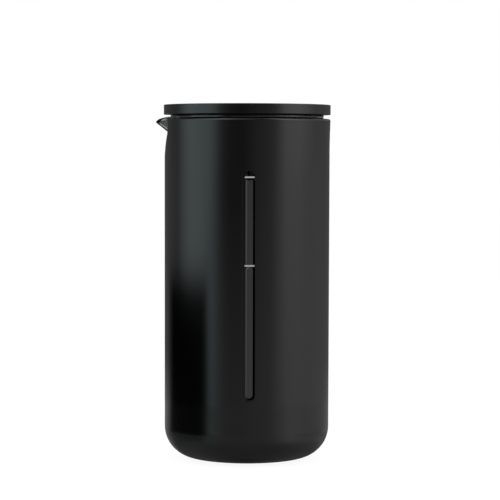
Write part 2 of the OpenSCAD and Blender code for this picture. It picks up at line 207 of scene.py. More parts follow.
def stadium(half, low, high, corner, sideSteps, arcSteps, shift=0.0):
    # closed outline from the bottom's middle, up the right side and down the left one
    quarter = [(0.0, 0.0)] if half - corner > 1e-6 else []
    for turn in evenly(0, pi / 2, arcSteps - len(quarter)):
        quarter.append((half - corner + corner * sin(turn), corner - corner * cos(turn)))
    right = [(x, low + z) for x, z in quarter]
    right += [(half, z) for z in evenly(low + corner, high - corner, sideSteps)[1:-1]]
    right += [(x, high - z) for x, z in reversed(quarter)]
    return mirrored(right, shift)


def oblong(half, low, high, sideSteps, arcSteps):   # a rectangle with as many points as a stadium
    right = [(x, low) for x in evenly(0, half, arcSteps)]
    right += [(half, z) for z in evenly(low, high, sideSteps)[1:-1]]
    return mirrored(right + [(x, high) for x in evenly(half, 0, arcSteps)])


def insetOutline(outline, sizes):    # moves each point inwards by its own distance, or all by the same
    count = len(outline)
    sizes = sizes if isinstance(sizes, list) else [sizes] * count
    moved = []
    for i, (x, z) in enumerate(outline):
        along = Vector(outline[(i + 1) % count]) - Vector(outline[i - 1])
        inward = Vector((-along.y, along.x)).normalized()
        moved.append((x + inward.x * sizes[i], z + inward.y * sizes[i]))
    return moved


def edgeLoops(edge, radii, inward=False, steps=4):
    # rounds the edge of an opening; the edge runs anticlockwise as seen from outside the wall
    loops = []
    count = len(edge)
    radii = radii if isinstance(radii, list) else [radii] * count
    for turn in evenly(0, pi / 2, steps):
        loop = []
        for i, point in enumerate(edge):
            along = (edge[(i + 1) % count] - edge[i - 1]).normalized()
            outward = Vector((point.x, point.y, 0)).normalized()
            opening = outward.cross(along)
            face = -outward if inward else outward
            loop.append(point + (face * (cos(turn) - 1) + opening * (sin(turn) - 1)) * radii[i])
        loops.append(loop)
    return loops


def finishMesh(name, bm, *others):   # normals outwards, then metres; meshes of others are already in metres
    bmesh.ops.recalc_face_normals(bm, faces=bm.faces)
    bmesh.ops.scale(bm, vec=(mm, mm, mm), verts=bm.verts)
    for other in others:
        bm.from_mesh(other.data)
        bpy.data.objects.remove(other)
    mesh = bpy.data.meshes.new(name)
    bm.to_mesh(mesh)
    bm.free()
    return mesh


def dress(piece, node, sharp=0):     # smooth shading up to a sharp angle, then finish, body and slot
    piece.data.shade_smooth()
    if sharp:
        piece.data.set_sharp_from_angle(angle=radians(sharp))
    piece.data.materials.clear()
    piece.data.materials.append(finishes[slotOf[node]])
    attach(piece, bodyOf[node])
    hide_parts(node)
    print("piece", piece.name, len(piece.data.polygons))


def makePiece(name, node, bm, sharp=38):
    bmesh.ops.remove_doubles(bm, verts=bm.verts, dist=weldWithin)
    dress(newObject(name, finishMesh(name, bm)), node, sharp)


def lathePiece(name, node, points, steps=160, arcSteps=5):
    bm = bmesh.new()
    addLathe(bm, points, steps, arcSteps)
    makePiece(name, node, bm)


# node helpers
def addNode(tree, kind, *values, **settings):   # values in the sockets' order, or a dictionary by name
    made = tree.nodes.new(kind if "Node" in kind else "ShaderNode" + kind)
    for key, value in settings.items():
        setattr(made, key, value)
    named = values[0] if values and isinstance(values[0], dict) else dict(enumerate(values))
    for key, value in named.items():
        if isinstance(value, bpy.types.NodeSocket):
            tree.links.new(value, made.inputs[key])
        elif value is not None:
            made.inputs[key].default_value = value
    return made


def nodeOut(tree, kind, *values, **settings):
    return addNode(tree, kind, *values, **settings).outputs[0]


def mathNode(tree, operation, *values):
    return nodeOut(tree, "Math", *values, operation=operation)


def easeNode(tree, value, start, end, low=0.0, high=1.0):
    return nodeOut(tree, "MapRange", value, start, end, low, high, interpolation_type="SMOOTHSTEP")


def mixColours(tree, share, first, second):
    return addNode(tree, "Mix", {0: share, 6: first, 7: second}, data_type="RGBA").outputs[2]


def objectPlace(tree):               # the place on the object, its axes, and how far off the upright axis
    place = addNode(tree, "TexCoord").outputs["Object"]
    axes = addNode(tree, "SeparateXYZ", place).outputs
    flat = nodeOut(tree, "CombineXYZ", axes[0], axes[1])
    return place, axes, addNode(tree, "VectorMath", flat, operation="LENGTH").outputs["Value"]


def emptyMaterial(name):
    material = bpy.data.materials.new(name)
    material.use_nodes = True
    material.node_tree.nodes.clear()
    return material, material.node_tree


# stage: white surroundings and a light tent that only glossy surfaces see
stageSetup = {
    "world": 1.0,
    "floorSize": 8.0,
    "floorGlow": 0.93,
    "floorGrey": 0.1,
    "tentRadius": 0.27,
    "tentLow": -0.05,
    "tentHigh": 1.15,
    "tentPeak": 2.3,              # level that the ramps' white stands for
    "roofLevel": 0.7,
    "shade": (0.079, 0.111),      # heights between which the left softbox begins
    "shadeFrom": (-140, -124),    # degrees round the tent where it has that lower edge
    "shadeTo": (-58, -47),
    "underFade": (0.08, 0.2),     # distances over which the floor's light turns into the ring's
    "underBack": (-0.03, 0.08, 0.2),    # it falls to this share from front to back
    "underLeft": (0.02, -0.06, 0.95),   # and from right to left
    "cool": (0.86, 1.0, 1.0),
    "coolSide": (-105, -40),
    "steps": 96,
}
# light levels round the tent: degrees from the front, positive to the right; each list holds at one height
tentLevels = {
    0.256: [(-180, 0.3), (-150, 0.15), (-136, 0.15), (-113, 0.3), (-104, 0.38), (-95, 0.65), (-80, 1.1),
            (-70, 1.5), (-60, 1.75), (-50, 2.0), (-39, 1.9), (-25, 1.15), (-14, 0.75), (0, 0.7), (8, 0.5),
            (14, 0.33), (25, 0.18), (32, 0.5), (38, 1.0), (43, 1.8), (48, 2.2), (60, 2.2), (73, 1.75),
            (85, 1.15), (99, 0.85), (115, 0.6), (150, 0.35)],
    0.215: [(-180, 0.8), (-172, 0.1), (-150, 0.12), (-112, 0.2), (-102, 0.3), (-94, 0.62), (-80, 1.4),
            (-49, 1.22), (-43, 0.93), (-33, 0.2), (-22, 0.03), (-6, 0.02), (18, 0.26), (34, 0.41), (38, 0.6),
            (49, 1.38), (68, 1.45), (81, 1.0), (97, 0.48), (118, 0.29), (140, 0.16), (172, 0.1)],
    0.199: [(-180, 0.8), (-172, 0.1), (-150, 0.12), (-112, 0.21), (-102, 0.3), (-80, 1.34), (-49, 1.2),
            (-43, 0.93), (-33, 0.3), (-22, 0.15), (-6, 0.13), (18, 0.3), (34, 0.41), (38, 0.6), (49, 1.26),
            (68, 1.3), (81, 0.95), (97, 0.5), (118, 0.29), (140, 0.16), (172, 0.1)],
    0.165: [(-180, 0.8), (-172, 0.1), (-150, 0.12), (-115, 0.23), (-104, 0.3), (-80, 1.22), (-67, 1.33),
            (-49, 1.14), (-34, 0.24), (-24, 0.12), (-6, 0.12), (8, 0.25), (30, 0.39), (39, 0.7), (50, 1.11),
            (68, 1.04), (83, 0.77), (100, 0.56), (122, 0.27), (140, 0.15), (172, 0.1)],
    0.036: [(-180, 0.8), (-172, 0.1), (-152, 0.14), (-136, 0.16), (-118, 0.0), (-60, 0.0), (-55, 0.15),
            (-50, 0.7), (-45, 0.78), (-33, 0.38), (-22, 0.3), (-6, 0.31), (8, 0.38), (29, 0.45), (39, 0.7),
            (51, 0.95), (69, 0.9), (84, 0.74), (101, 0.55), (123, 0.29), (142, 0.16), (172, 0.1)],
    -0.002: [(-180, 0.8), (-172, 0.3), (-152, 0.3), (-134, 0.3), (-120, 0.02), (-60, 0.0), (-55, 0.15),
             (-50, 0.66), (-45, 0.74), (-33, 0.4), (-22, 0.34), (-6, 0.35), (8, 0.42), (29, 0.46), (39, 0.7),
             (51, 0.92), (69, 0.87), (84, 0.73), (101, 0.56), (123, 0.33), (142, 0.25), (172, 0.2)],
    -0.024: [(-180, 0.3), (-172, 0.2), (-150, 0.3), (-134, 0.25), (-122, 0.05), (-64, 0.02), (-57, 0.12),
             (-50, 0.5), (-40, 0.44), (-22, 0.38), (18, 0.4), (35, 0.53), (57, 0.86), (83, 0.58), (107, 0.4),
             (125, 0.35), (142, 0.3), (172, 0.2)],
    -0.046: [(-180, 0.3), (-172, 0.1), (-150, 0.25), (-115, 0.14), (-79, 0.19), (-65, 0.24), (-50, 0.5),
             (-40, 0.44), (-22, 0.38), (18, 0.4), (35, 0.53), (57, 0.86), (83, 0.58), (107, 0.4), (125, 0.3),
             (142, 0.18), (172, 0.05)],
}
underLevels = [(0.0, 0.07), (0.034, 0.19), (0.058, 0.25), (0.082, 0.3), (0.115, 0.34), (0.18, 0.37)]


def levelRamp(tree, place, stops, tintRange=None):
    ramp = addNode(tree, "ValToRGB", place)
    elements = ramp.color_ramp.elements
    elements.remove(elements[-1])
    for i, (at, level) in enumerate(stops):
        share = (at + 180) / 360 if tintRange else at
        element = elements.new(share) if i else elements[0]
        element.position = share
        isCool = tintRange and tintRange[0] < at < tintRange[1]
        tint = stageSetup["cool"] if isCool else (1, 1, 1)
        element.color = [level / stageSetup["tentPeak"] * part for part in tint] + [1]
    return ramp.outputs[0]


def tentMaterial(setup):
    material, tree = emptyMaterial("tentLight")
    _, axes, middle = objectPlace(tree)
    calc = partial(mathNode, tree)
    angle = calc("DEGREES", calc("ARCTAN2", axes[0], calc("MULTIPLY", axes[1], -1.0)))
    turn = calc("MULTIPLY_ADD", angle, 1 / 360, 0.5)
    heights = sorted(tentLevels)
    ramps = [levelRamp(tree, turn, tentLevels[height], setup["coolSide"]) for height in heights]
    shaded = calc("MULTIPLY", easeNode(tree, angle, *setup["shadeFrom"]),
                  easeNode(tree, angle, *setup["shadeTo"], 1.0, 0.0))
    light = ramps[0]
    for lower, upper, ramp in zip(heights, heights[1:], ramps[1:]):
        rise = nodeOut(tree, "MapRange", axes[2], lower, upper)
        if lower < setup["shade"][0] < upper:
            abrupt = easeNode(tree, axes[2], *setup["shade"])
            rise = nodeOut(tree, "Mix", {0: shaded, 2: rise, 3: abrupt}, data_type="FLOAT")
        light = mixColours(tree, rise, light, ramp)
    falls = [nodeOut(tree, "MapRange", axes[i], start, end, 1.0, share)
             for i, (start, end, share) in ((1, setup["underBack"]), (0, setup["underLeft"]))]
    sockets = {0: levelRamp(tree, middle, underLevels), "Scale": calc("MULTIPLY", *falls)}
    under = nodeOut(tree, "VectorMath", sockets, operation="SCALE")
    under = mixColours(tree, easeNode(tree, middle, *setup["underFade"]), under, ramps[0])
    light = mixColours(tree, calc("LESS_THAN", axes[2], setup["tentLow"] + mm), light, under)
    roof = [setup["roofLevel"] / setup["tentPeak"]] * 3 + [1]
    light = mixColours(tree, calc("GREATER_THAN", axes[2], setup["tentHigh"] - mm), light, roof)
    addNode(tree, "OutputMaterial", nodeOut(tree, "Emission", light, setup["tentPeak"]))
    return material


def stagePiece(name, rows, material, **visible):
    bm = bmesh.new()
    addRows(bm, rows, closed=len(rows) > 2)
    mesh = bpy.data.meshes.new(name)
    bm.to_mesh(mesh)
    bm.free()
    mesh.materials.append(material)
    piece = newObject(name, mesh)
    for key, value in visible.items():
        setattr(piece, "visible_" + key, value)


def makeStage(setup):
    world = bpy.data.worlds.new("studio")
    scene.world = world
    world.use_nodes = True
    background = world.node_tree.nodes["Background"].inputs
    background["Color"].default_value = (1, 1, 1, 1)
    background["Strength"].default_value = setup["world"]
    world.cycles_visibility.glossy = False
    material, tree = emptyMaterial("floorWhite")
    grey = [setup["floorGrey"]] * 3 + [1]
    sockets = {"Base Color": grey, "Roughness": 0.9, "Emission Color": (1, 1, 1, 1),
               "Emission Strength": setup["floorGlow"]}
    addNode(tree, "OutputMaterial", nodeOut(tree, "BsdfPrincipled", sockets))
    half = setup["floorSize"] / 2
    stagePiece("floor", [[(-half, y, 0), (half, y, 0)] for y in (-half, half)], material, glossy=False)
    radius, low, high = setup["tentRadius"], setup["tentLow"], setup["tentHigh"]
    rows = [circle(r, z, setup["steps"]) for r, z in ((0, low), (radius, low), (radius, high), (0, high))]
    stagePiece("lightTent", rows, tentMaterial(setup), camera=False, diffuse=False, transmission=False,
               shadow=False)


makeStage(stageSetup)
print("stage ready")


# finishes, one for each material slot of the record
def noise(tree, vector, scale, detail, roughness=0.5):
    sockets = {"Vector": vector, "Scale": scale, "Detail": detail, "Roughness": roughness}
    return nodeOut(tree, "TexNoise", sockets)


def colourOf(tone):                  # one number is a grey
    return [*tone, 1] if isinstance(tone, tuple) else [tone, tone, tone, 1]


def tinted(tree, value, look):
    return mixColours(tree, value, colourOf(look["dark"]), colourOf(look["light"]))


def addSurface(tree, look, colour, cloud, height):
    rough = look["rough"]
    if isinstance(rough, tuple):
        rough = nodeOut(tree, "MapRange", cloud, 0.25, 0.75, *rough)
    bump = nodeOut(tree, "Bump", {"Strength": look["bump"], "Distance": look["depth"] * mm, "Height": height})
    addNode(tree, "OutputMaterial", nodeOut(tree, "BsdfPrincipled", {
        "Base Color": colour, "Roughness": rough, "Normal": bump, "Metallic": look.get("metal", 0.0),
        "Transmission Weight": look.get("clear", 0.0), "IOR": 1.5}))


def moulded(tree, look):             # plastic, rubber and nylon: fine grain and faint cloudiness
    place = addNode(tree, "TexCoord").outputs["Object"]
    cloud = noise(tree, place, 45, 3)
    addSurface(tree, look, tinted(tree, cloud, look), cloud, noise(tree, place, look["scale"], 1))


def windowSmokeAndShade(tree, look):            # smoked rib on a black rim, the black partly painted shade in the recesses: the colour changes away from the axis
    place, axes, middle = objectPlace(tree)
    cloud = noise(tree, place, 60, 3)
    # painted shade: the window turns black below the rib's chamfer and above the upper mark, darkening the
    # recessed plate, channel, wedge and stub
    below = easeNode(tree, axes[2], *look["smokeTop"], 1.0, 0.0)
    outward = mathNode(tree, "MULTIPLY", easeNode(tree, middle, *look["rimRadius"]), below)
    colour = mixColours(tree, outward, colourOf(look["rim"]), tinted(tree, cloud, look))
    addSurface(tree, look, colour, cloud, noise(tree, place, look["scale"], 1))


def turned(tree, look):              # metal worked on a lathe or brushed round: rings about the axis
    place, axes, middle = objectPlace(tree)
    rings = nodeOut(tree, "CombineXYZ", middle, None, axes[2])
    lines = noise(tree, rings, look["scale"], 4, 0.7)
    addSurface(tree, {"metal": 1.0, **look}, tinted(tree, lines, look), noise(tree, place, 60, 3), lines)


def drawnGlass(tree, look):          # smoke glass: tint, slow waves as drawn glass has, and painted shade towards the spout's tip
    place, _, middle = objectPlace(tree)
    wave = noise(tree, place, look["scale"], 2)
    # painted shade: the glass darkens to the tip colour far from the axis, at the spout's thick tip
    thick = easeNode(tree, middle, *look["tipFrom"])
    colour = mixColours(tree, thick, tinted(tree, wave, look), colourOf(look["tip"]))
    addSurface(tree, look, colour, wave, wave)


# slot: maker, dark tone, light tone, roughness, fine pattern's scale and depth (mm), its bump, and the rest
lookNames = "dark", "light", "rough", "scale", "depth", "bump"
looks = {
    "shell_plastic": (moulded, 0.0003, 0.0006, (0.165, 0.185), 2600, 0.004, 0.12, {}),
    "disc_plastic": (moulded, 0.0003, 0.0006, (0.16, 0.18), 2600, 0.004, 0.12, {}),
    "lid_plastic": (moulded, 0.003, 0.006, (0.22, 0.28), 2200, 0.006, 0.3, {}),
    # window: smoked rib on a black rim whose black is partly painted shade in the window's recesses
    "window_smoke": (windowSmokeAndShade, (0.019, 0.019, 0.0195), (0.023, 0.023, 0.0235), (0.1, 0.14), 400, 0.002, 0.1,
                     {"rim": 0.0008, "rimRadius": (0.0477, 0.0479), "smokeTop": (0.1668, 0.167)}),
    "mark_white": (moulded, (0.33, 0.33, 0.325), (0.38, 0.38, 0.375), (0.4, 0.5), 3000, 0.006, 0.3, {}),
    "foot_rubber": (moulded, 0.010, 0.018, (0.6, 0.75), 1800, 0.02, 0.3, {}),
    "cushion_rubber": (moulded, 0.03, 0.045, (0.6, 0.75), 1800, 0.02, 0.3, {}),
    "collar_rubber": (moulded, 0.010, 0.018, (0.5, 0.6), 1800, 0.02, 0.3, {}),
    "seal_rubber": (moulded, 0.016, 0.026, (0.35, 0.45), 1500, 0.01, 0.3, {}),
    "bush_nylon": (moulded, (0.50, 0.49, 0.45), (0.60, 0.59, 0.55), (0.4, 0.5), 1500, 0.008, 0.3, {}),
    "screw_steel": (turned, (0.42, 0.42, 0.43), (0.6, 0.6, 0.61), (0.25, 0.35), 9000, 0.01, 0.4, {}),
    "rod_steel": (turned, (0.58, 0.58, 0.59), (0.68, 0.68, 0.69), (0.1, 0.16), 7000, 0.003, 0.2, {}),
    "plate_steel": (turned, (0.45, 0.45, 0.46), (0.62, 0.62, 0.63), (0.22, 0.32), 6000, 0.008, 0.4, {}),
    "mesh_steel": (turned, (0.4, 0.4, 0.41), (0.55, 0.55, 0.56), (0.25, 0.35), 5000, 0.004, 0.4, {}),
    "insert_brass": (turned, (0.62, 0.42, 0.16), (0.78, 0.57, 0.25), (0.2, 0.3), 8000, 0.01, 0.4, {}),
    # the glass's tip colour is painted shade for its thick, dark spout tip
    "beaker_glass": (drawnGlass, (0.25, 0.255, 0.265), (0.30, 0.31, 0.32), 0.0, 30, 0.02, 0.2,
                     {"tip": 0.02, "tipFrom": (0.0512, 0.0538), "clear": 1.0}),
}
finishes = {}
for slot, (paint, *values, rest) in looks.items():
    finishes[slot], tree = emptyMaterial(slot)
    paint(tree, dict(zip(lookNames, values), **rest))
print("finishes ready:", len(finishes))


# outer shell: a cup with a flared rim, a notch under the spout and a slot for the window
shell = {
    "wall": 2.8, "floor": 4.0, "corner": 18.6, "draft": 0.15, "flare": 0.45, "flareHeight": 17.0,
    "rimRound": 1.3, "innerRound": 0.4, "notchEdge": 0.6, "notchDepth": 21.5, "notchWidth": 29.0,
    "notchRound": 5.0, "notchLean": 40, "notchKnee": 8.8, "kneeRound": 3.0, "mouthRound": 0.9,
    "slotWidth": 7.0, "slotLow": 38.6, "slotDrop": 30.2, "slotRound": 0.2, "pocketLap": 2.0,
    "pocketDepth": 0.9,
    "grooveHeight": 4.4, "grooveDrop": 1.8, "grooveDepth": 0.8, "footSeat": 27.05, "footDepth": 0.8,
    "patchHalf": 7.0, "patchLow": 33.0, "patchGap": 0.2, "ringDrop": 22.4,
    "sideSteps": 30, "arcSteps": 9, "rightSteps": 160, "leftSteps": 52,
}
rimRadius, shellLow, rimZ = roundBox("outer_shell")
bodyRadius = rimRadius - shell["flare"]
baseRadius = bodyRadius - shell["draft"]
innerRadius = bodyRadius - shell["wall"]
slotHigh = rimZ - shell["slotDrop"]


def shellRadius(z):
    cornerTop = shellLow + shell["corner"]
    flareZ = rimZ - shell["flareHeight"]
    rise = min(max((z - cornerTop) / (flareZ - cornerTop), 0), 1)
    flared = max((z - flareZ) / shell["flareHeight"], 0) ** 1.3
    return baseRadius + shell["draft"] * rise + shell["flare"] * flared


def onShell(outline):
    return [wallPoint(front, x, shellRadius(z), z) for x, z in outline]


def notchLine():
    lean = radians(shell["notchLean"])
    tip = rimZ - shell["notchDepth"] + shell["notchRound"] - shell["notchRound"] / sin(lean)
    kneeZ = rimZ - shell["notchKnee"]
    right = [((kneeZ - tip) * tan(lean), kneeZ, shell["kneeRound"]),
             (shell["notchWidth"] / 2, rimZ, shell["mouthRound"]), (shell["notchWidth"] / 2 + 2, rimZ)]
    left = [(-x, *rest) for x, *rest in reversed(right)]
    return subdivided(roundedLine(left + [(0, tip, shell["notchRound"])] + right, 7), 1.1)


def shellColumns():                  # direction, distance aside at the ring below the notch, then at the edge
    half, line = shell["patchHalf"], notchLine()
    patchTurn, notchTurn = asin(half / bodyRadius), asin(line[-1].x / bodyRadius)
    right = evenly(front + patchTurn, spoutSide - notchTurn, shell["rightSteps"])[1:-1]
    left = evenly(spoutSide + notchTurn, front + fullTurn - patchTurn, shell["leftSteps"])[1:-1]
    places = evenly(-line[-1].x, line[-1].x, len(line) - 1)
    columns = [(front, x, x, rimZ) for x in evenly(-half, half, 2 * shell["arcSteps"])]
    columns += [(turn, 0, 0, rimZ) for turn in right]
    columns += [(spoutSide, place, point.x, point.y) for place, point in zip(places, line)]
    return columns + [(turn, 0, 0, rimZ) for turn in left]


def buildShell():
    bm = bmesh.new()
    columns = shellColumns()
    beside = columns[2 * shell["arcSteps"]:] + columns[:1]
    ringZ = rimZ - shell["ringDrop"]
    patchLow, corner, seat = shell["patchLow"], shell["corner"], shell["footSeat"]
    grooveHigh = rimZ - shell["notchDepth"] - shell["grooveDrop"]
    grooveLow = grooveHigh - shell["grooveHeight"]
    innerHigh = grooveLow - shell["patchGap"]
    # underside, rounded corner and the lowest stretch of the wall
    seatZ = shellLow + shell["footDepth"]
    lower = supported(roundedLine([(0, seatZ), (seat, seatZ), (seat, shellLow, 0.2),
                                   (baseRadius, shellLow, corner), (baseRadius, patchLow)], 22))
    lower[-1].x = shellRadius(lower[-1].y)
    addRows(bm, [columnRing(columns, r, z, seat - 1) for r, z in lower])
    # wall beside the slot, outside and inside
    for high, radiusAt in ((ringZ, shellRadius), (innerHigh, lambda z: innerRadius)):
        levels = evenly(patchLow, high, shell["sideSteps"])
        addRows(bm, [columnRing(beside, radiusAt(z), z) for z in levels], closed=False)
    # wall round the slot, outside, then through the wall into the pocket behind it
    half, lap = shell["slotWidth"] / 2, shell["pocketLap"]
    steps = shell["sideSteps"], shell["arcSteps"]
    slot = stadium(half, shell["slotLow"], slotHigh, half, *steps)
    pocket = stadium(half + lap, shell["slotLow"] - lap, slotHigh + lap, half + lap, *steps)
    outerFrame, innerFrame = [oblong(shell["patchHalf"], patchLow, high, *steps)
                              for high in (ringZ, innerHigh)]
    rounding = edgeLoops(onShell(slot), shell["slotRound"])
    inPlane = [(point.x, point.z) for point in rounding[0]]
    rows = [onShell(blended(outerFrame, inPlane, share)) for share in (0, 0.3, 0.6, 0.85, 0.96)]
    rows += rounding + [onWall(line, front, innerRadius + shell["pocketDepth"]) for line in (slot, pocket)]
    rows += [onWall(blended(pocket, innerFrame, share), front, innerRadius) for share in (0, 0.5, 1)]
    addRows(bm, rows)
    # rim and notch: outer rounding, top face, inner rounding
    outerEdge = [wallPoint(side, edge, shellRadius(z), z) for side, _, edge, z in columns]
    innerEdge = [wallPoint(side, edge, innerRadius, z) for side, _, edge, z in columns]
    depths = [min((rimZ - z) / shell["kneeRound"], 1) for *_, z in columns]
    radii = [shell["rimRound"] + (shell["notchEdge"] - shell["rimRound"]) * depth for depth in depths]
    outer = edgeLoops(outerEdge, radii, steps=7)
    inner = edgeLoops(innerEdge, shell["innerRound"], inward=True)[::-1]

    def wallRows(loop, radiusAt):    # from the ring below the notch up to the edge
        rows = []
        for share in (0, 0.2, 0.4, 0.6, 0.78, 0.9, 0.97):
            row = []
            for (side, place, *_), point in zip(columns, loop):
                aside = Vector((-sin(side), cos(side), 0)).dot(point)
                z = ringZ + (point.z - ringZ) * share
                row.append(wallPoint(side, place + (aside - place) * share, radiusAt(z), z))
            rows.append(row)
        return rows

    rows = wallRows(outer[0], shellRadius) + outer
    rows += [blended(outer[-1], inner[0], share) for share in (0.06, 0.94)]
    rows += inner + wallRows(inner[-1], lambda z: innerRadius)[::-1]
    # inside: the collar's groove, then the floor
    grooveRadius = innerRadius + shell["grooveDepth"]
    groove = [(innerRadius, grooveHigh), (grooveRadius, grooveHigh), (grooveRadius, grooveLow),
              (innerRadius, grooveLow), (innerRadius, innerHigh)]
    addRows(bm, rows + [columnRing(columns, r, z) for r, z in groove])
    floor = shellLow + shell["floor"]
    line = [(innerRadius, patchLow), (innerRadius, floor, corner - shell["wall"]), (0, floor)]
    addRows(bm, [columnRing(columns, r, z) for r, z in roundedLine(line, 14)])
    makePiece("outerShell", "outer_shell", bm)


buildShell()


# sight window: a flange behind the wall, a plate in the slot and a raised rib on it
window = {
    "fit": 0.05, "flangeLap": 1.95, "flangeDepth": 0.85, "plateDepth": 1.7, "plateRound": 0.15,
    "ribWidth": 4.25, "ribShift": 0.21, "ribGap": 1.8, "ribDepth": 0.35,
    "chamferWide": 0.8, "chamferDeep": 0.42, "chamferShare": 1.2, "edge": 0.12, "channelDepth": 0.8,
    "fallFrom": 0.9, "fallShare": 0.7, "wedgeInset": 0.9, "wedgeRise": 0.65,
    "stubLine": [(0, 1.2), (0.08, 0.7), (0.5, 0.35), (0.9, 0.4), (1.0, 1.6)],   # across, and below the wall
    "dishStart": 1.2, "dishDepth": 0.85, "dishBend": 1.4, "dishLean": 0.1, "grooveDepth": 1.2,
    "grooveShare": 0.25, "stubSteps": 12, "sideSteps": 40, "arcSteps": 10,
}
marks = {"fit": 0.05, "drop": 3.7, "step": 50.5, "height": 0.95, "half": 2.86, "shift": 0.36, "depth": 0.15,
         "round": 0.14, "corner": 0.42, "gap": 1.1}
markHigh = slotHigh - marks["drop"]
markLow = markHigh - marks["step"]
plateRadius = bodyRadius - window["plateDepth"]
channelRadius = plateRadius - window["channelDepth"]


def roundedTop(outline, radius, size, steps):   # rows from an outline's wall over its rounded upper edge
    return [onWall(insetOutline(outline, size * (1 - cos(turn))), front, radius - size * (1 - sin(turn)))
            for turn in evenly(0, pi / 2, steps)]


def addRib(bm, low, high, corner):   # a bar, its chamfer wide on the spout's side and crisp on the other
    half, middle, edge = window["ribWidth"] / 2, window["ribShift"], window["edge"]
    outline = stadium(half, low, high, corner, window["sideSteps"], window["arcSteps"], middle)
    leans = [min(max(0.5 - (x - middle) / half / window["chamferShare"], 0), 1) for x, _ in outline]
    leans = [lean * lean * (3 - 2 * lean) for lean in leans]
    wide = [edge + (window["chamferWide"] - edge) * lean for lean in leans]
    deep = [edge + (window["chamferDeep"] - edge) * lean for lean in leans]
    topRadius = bodyRadius - window["ribDepth"]
    rows = [onWall(outline, front, channelRadius - 0.1)]
    for share in (0.0, 0.06, 0.5, 0.94, 1.0):
        loop = insetOutline(outline, [size * share for size in wide])
        radii = [topRadius - drop * (1 - share) for drop in deep]
        rows.append([wallPoint(front, x, radius, z) for (x, z), radius in zip(loop, radii)])
    centre = sum(x for x, _ in loop) / len(loop)
    for share in (0.94, 0.5):
        rows.append(onWall([(centre + (x - centre) * share, z) for x, z in loop], front, topRadius))
    made = addRows(bm, rows)
    capRows(bm, made[-1], made[0])


def addStub(bm, low, high):          # above the upper mark: a stub of the rib, a groove and a dish
    half = shell["slotWidth"] / 2 - window["fit"]
    left = window["ribShift"] - window["ribWidth"] / 2
    start, steps = left + window["dishStart"], window["stubSteps"]
    rows, back = [], []
    for z in evenly(low, high - window["fit"], steps):
        row = [(left + across, drop) for across, drop in window["stubLine"]]
        for share in evenly(0, 1, steps):
            drop = window["dishDepth"] * (1 - share) ** window["dishBend"] + window["dishLean"] * (z - low)
            drop += window["grooveDepth"] * max(0, 1 - share / window["grooveShare"])
            row.append((start + (half - start) * share, drop))
        reach = sqrt(max(half * half - max(z - (high - half), 0) ** 2, 0.01))
        held = [(min(max(x, -reach), reach), drop) for x, drop in row]
        rows.append([wallPoint(front, x, bodyRadius - drop, z) for x, drop in held])
        back.append([wallPoint(front, x, channelRadius, z) for x, _ in held])
    fore, rear = addRows(bm, rows, closed=False), addRows(bm, back, closed=False)
    last = len(row) - 1
    sides = [((i, k), (i + 1, k)) for i in range(steps) for k in (0, last)]
    sides += [((i, k), (i, k + 1)) for k in range(last) for i in (0, steps)]
    for (i, k), (m, n) in sides:
        addFace(bm, fore[i][k], fore[m][n], rear[m][n], rear[i][k])


def addWedge(bm, low, high):         # the slope between the upper mark and the rib's end, painted black as shade
    half = window["ribWidth"] / 2
    ends = window["ribShift"] - half + window["wedgeInset"], window["ribShift"] + half
    slope = (channelRadius, high), (plateRadius + window["wedgeRise"], high), (channelRadius, low)
    for row in addRows(bm, [[wallPoint(front, across, radius, z) for radius, z in slope] for across in ends]):
        bm.faces.new(row)


def buildWindow():
    bm = bmesh.new()
    steps = window["sideSteps"], window["arcSteps"]
    lap, fit = window["flangeLap"], window["fit"]
    slotHalf, half, middle = shell["slotWidth"] / 2, window["ribWidth"] / 2, window["ribShift"]
    low, high = shell["slotLow"], slotHigh
    flange = stadium(slotHalf + lap, low - lap, high + lap, slotHalf + lap, *steps)
    plate = stadium(slotHalf - fit, low + fit, high - fit, slotHalf - fit, *steps)
    foot = stadium(half, low + window["ribGap"], high, half, *steps, middle)
    flangeRadius = innerRadius + window["flangeDepth"]
    rows = [onWall([(x * 0.5, z) for x, z in flange], front, innerRadius), onWall(flange, front, innerRadius),
            onWall(flange, front, flangeRadius), onWall(plate, front, flangeRadius)]
    rows += roundedTop(plate, plateRadius, window["plateRound"], 3)
    top = insetOutline(plate, window["plateRound"])
    falls = [min(max((x - middle) / half + window["fallFrom"], 0) / window["fallShare"], 1) for x, _ in foot]
    for share in (0.08, 0.5, 0.92, 1.0):     # on the far side the floor falls towards the rib
        rows.append([wallPoint(front, x, plateRadius - window["channelDepth"] * fall * share, z)
                     for (x, z), fall in zip(blended(top, foot, share), falls)])
    made = addRows(bm, rows + [onWall(foot, front, channelRadius)])
    capRows(bm, made[0], made[-1])
    clear, upperEnd = marks["height"] / 2 + marks["fit"], markHigh - marks["height"] / 2 - marks["gap"]
    addRib(bm, low + window["ribGap"], markLow - clear, half)
    addRib(bm, markLow + clear, upperEnd, 0.001)
    addWedge(bm, upperEnd, markHigh - clear)
    addStub(bm, markHigh + clear, high)
    makePiece("sightWindow", "sight_window", bm, sharp=20)


def buildMarks():
    bm = bmesh.new()
    tall = marks["height"] / 2
    for z in (markLow, markHigh):
        outline = stadium(marks["half"], z - tall, z + tall, marks["corner"], 3, 6, marks["shift"])
        made = addRows(bm, [onWall(outline, front, plateRadius)]
                       + roundedTop(outline, bodyRadius - marks["depth"], marks["round"], 4))
        capRows(bm, made[-1], made[0])
    makePiece("levelMarks", "level_marks", bm)


buildWindow()
buildMarks()


# seats of the beaker and the foot
footRadius, footLow, footHigh = roundBox("foot_pad")
lathePiece("footPad", "foot_pad", [
    (0, footLow), (footRadius, footLow, 0.35), (footRadius, footHigh, 0.1), (0, footHigh)])

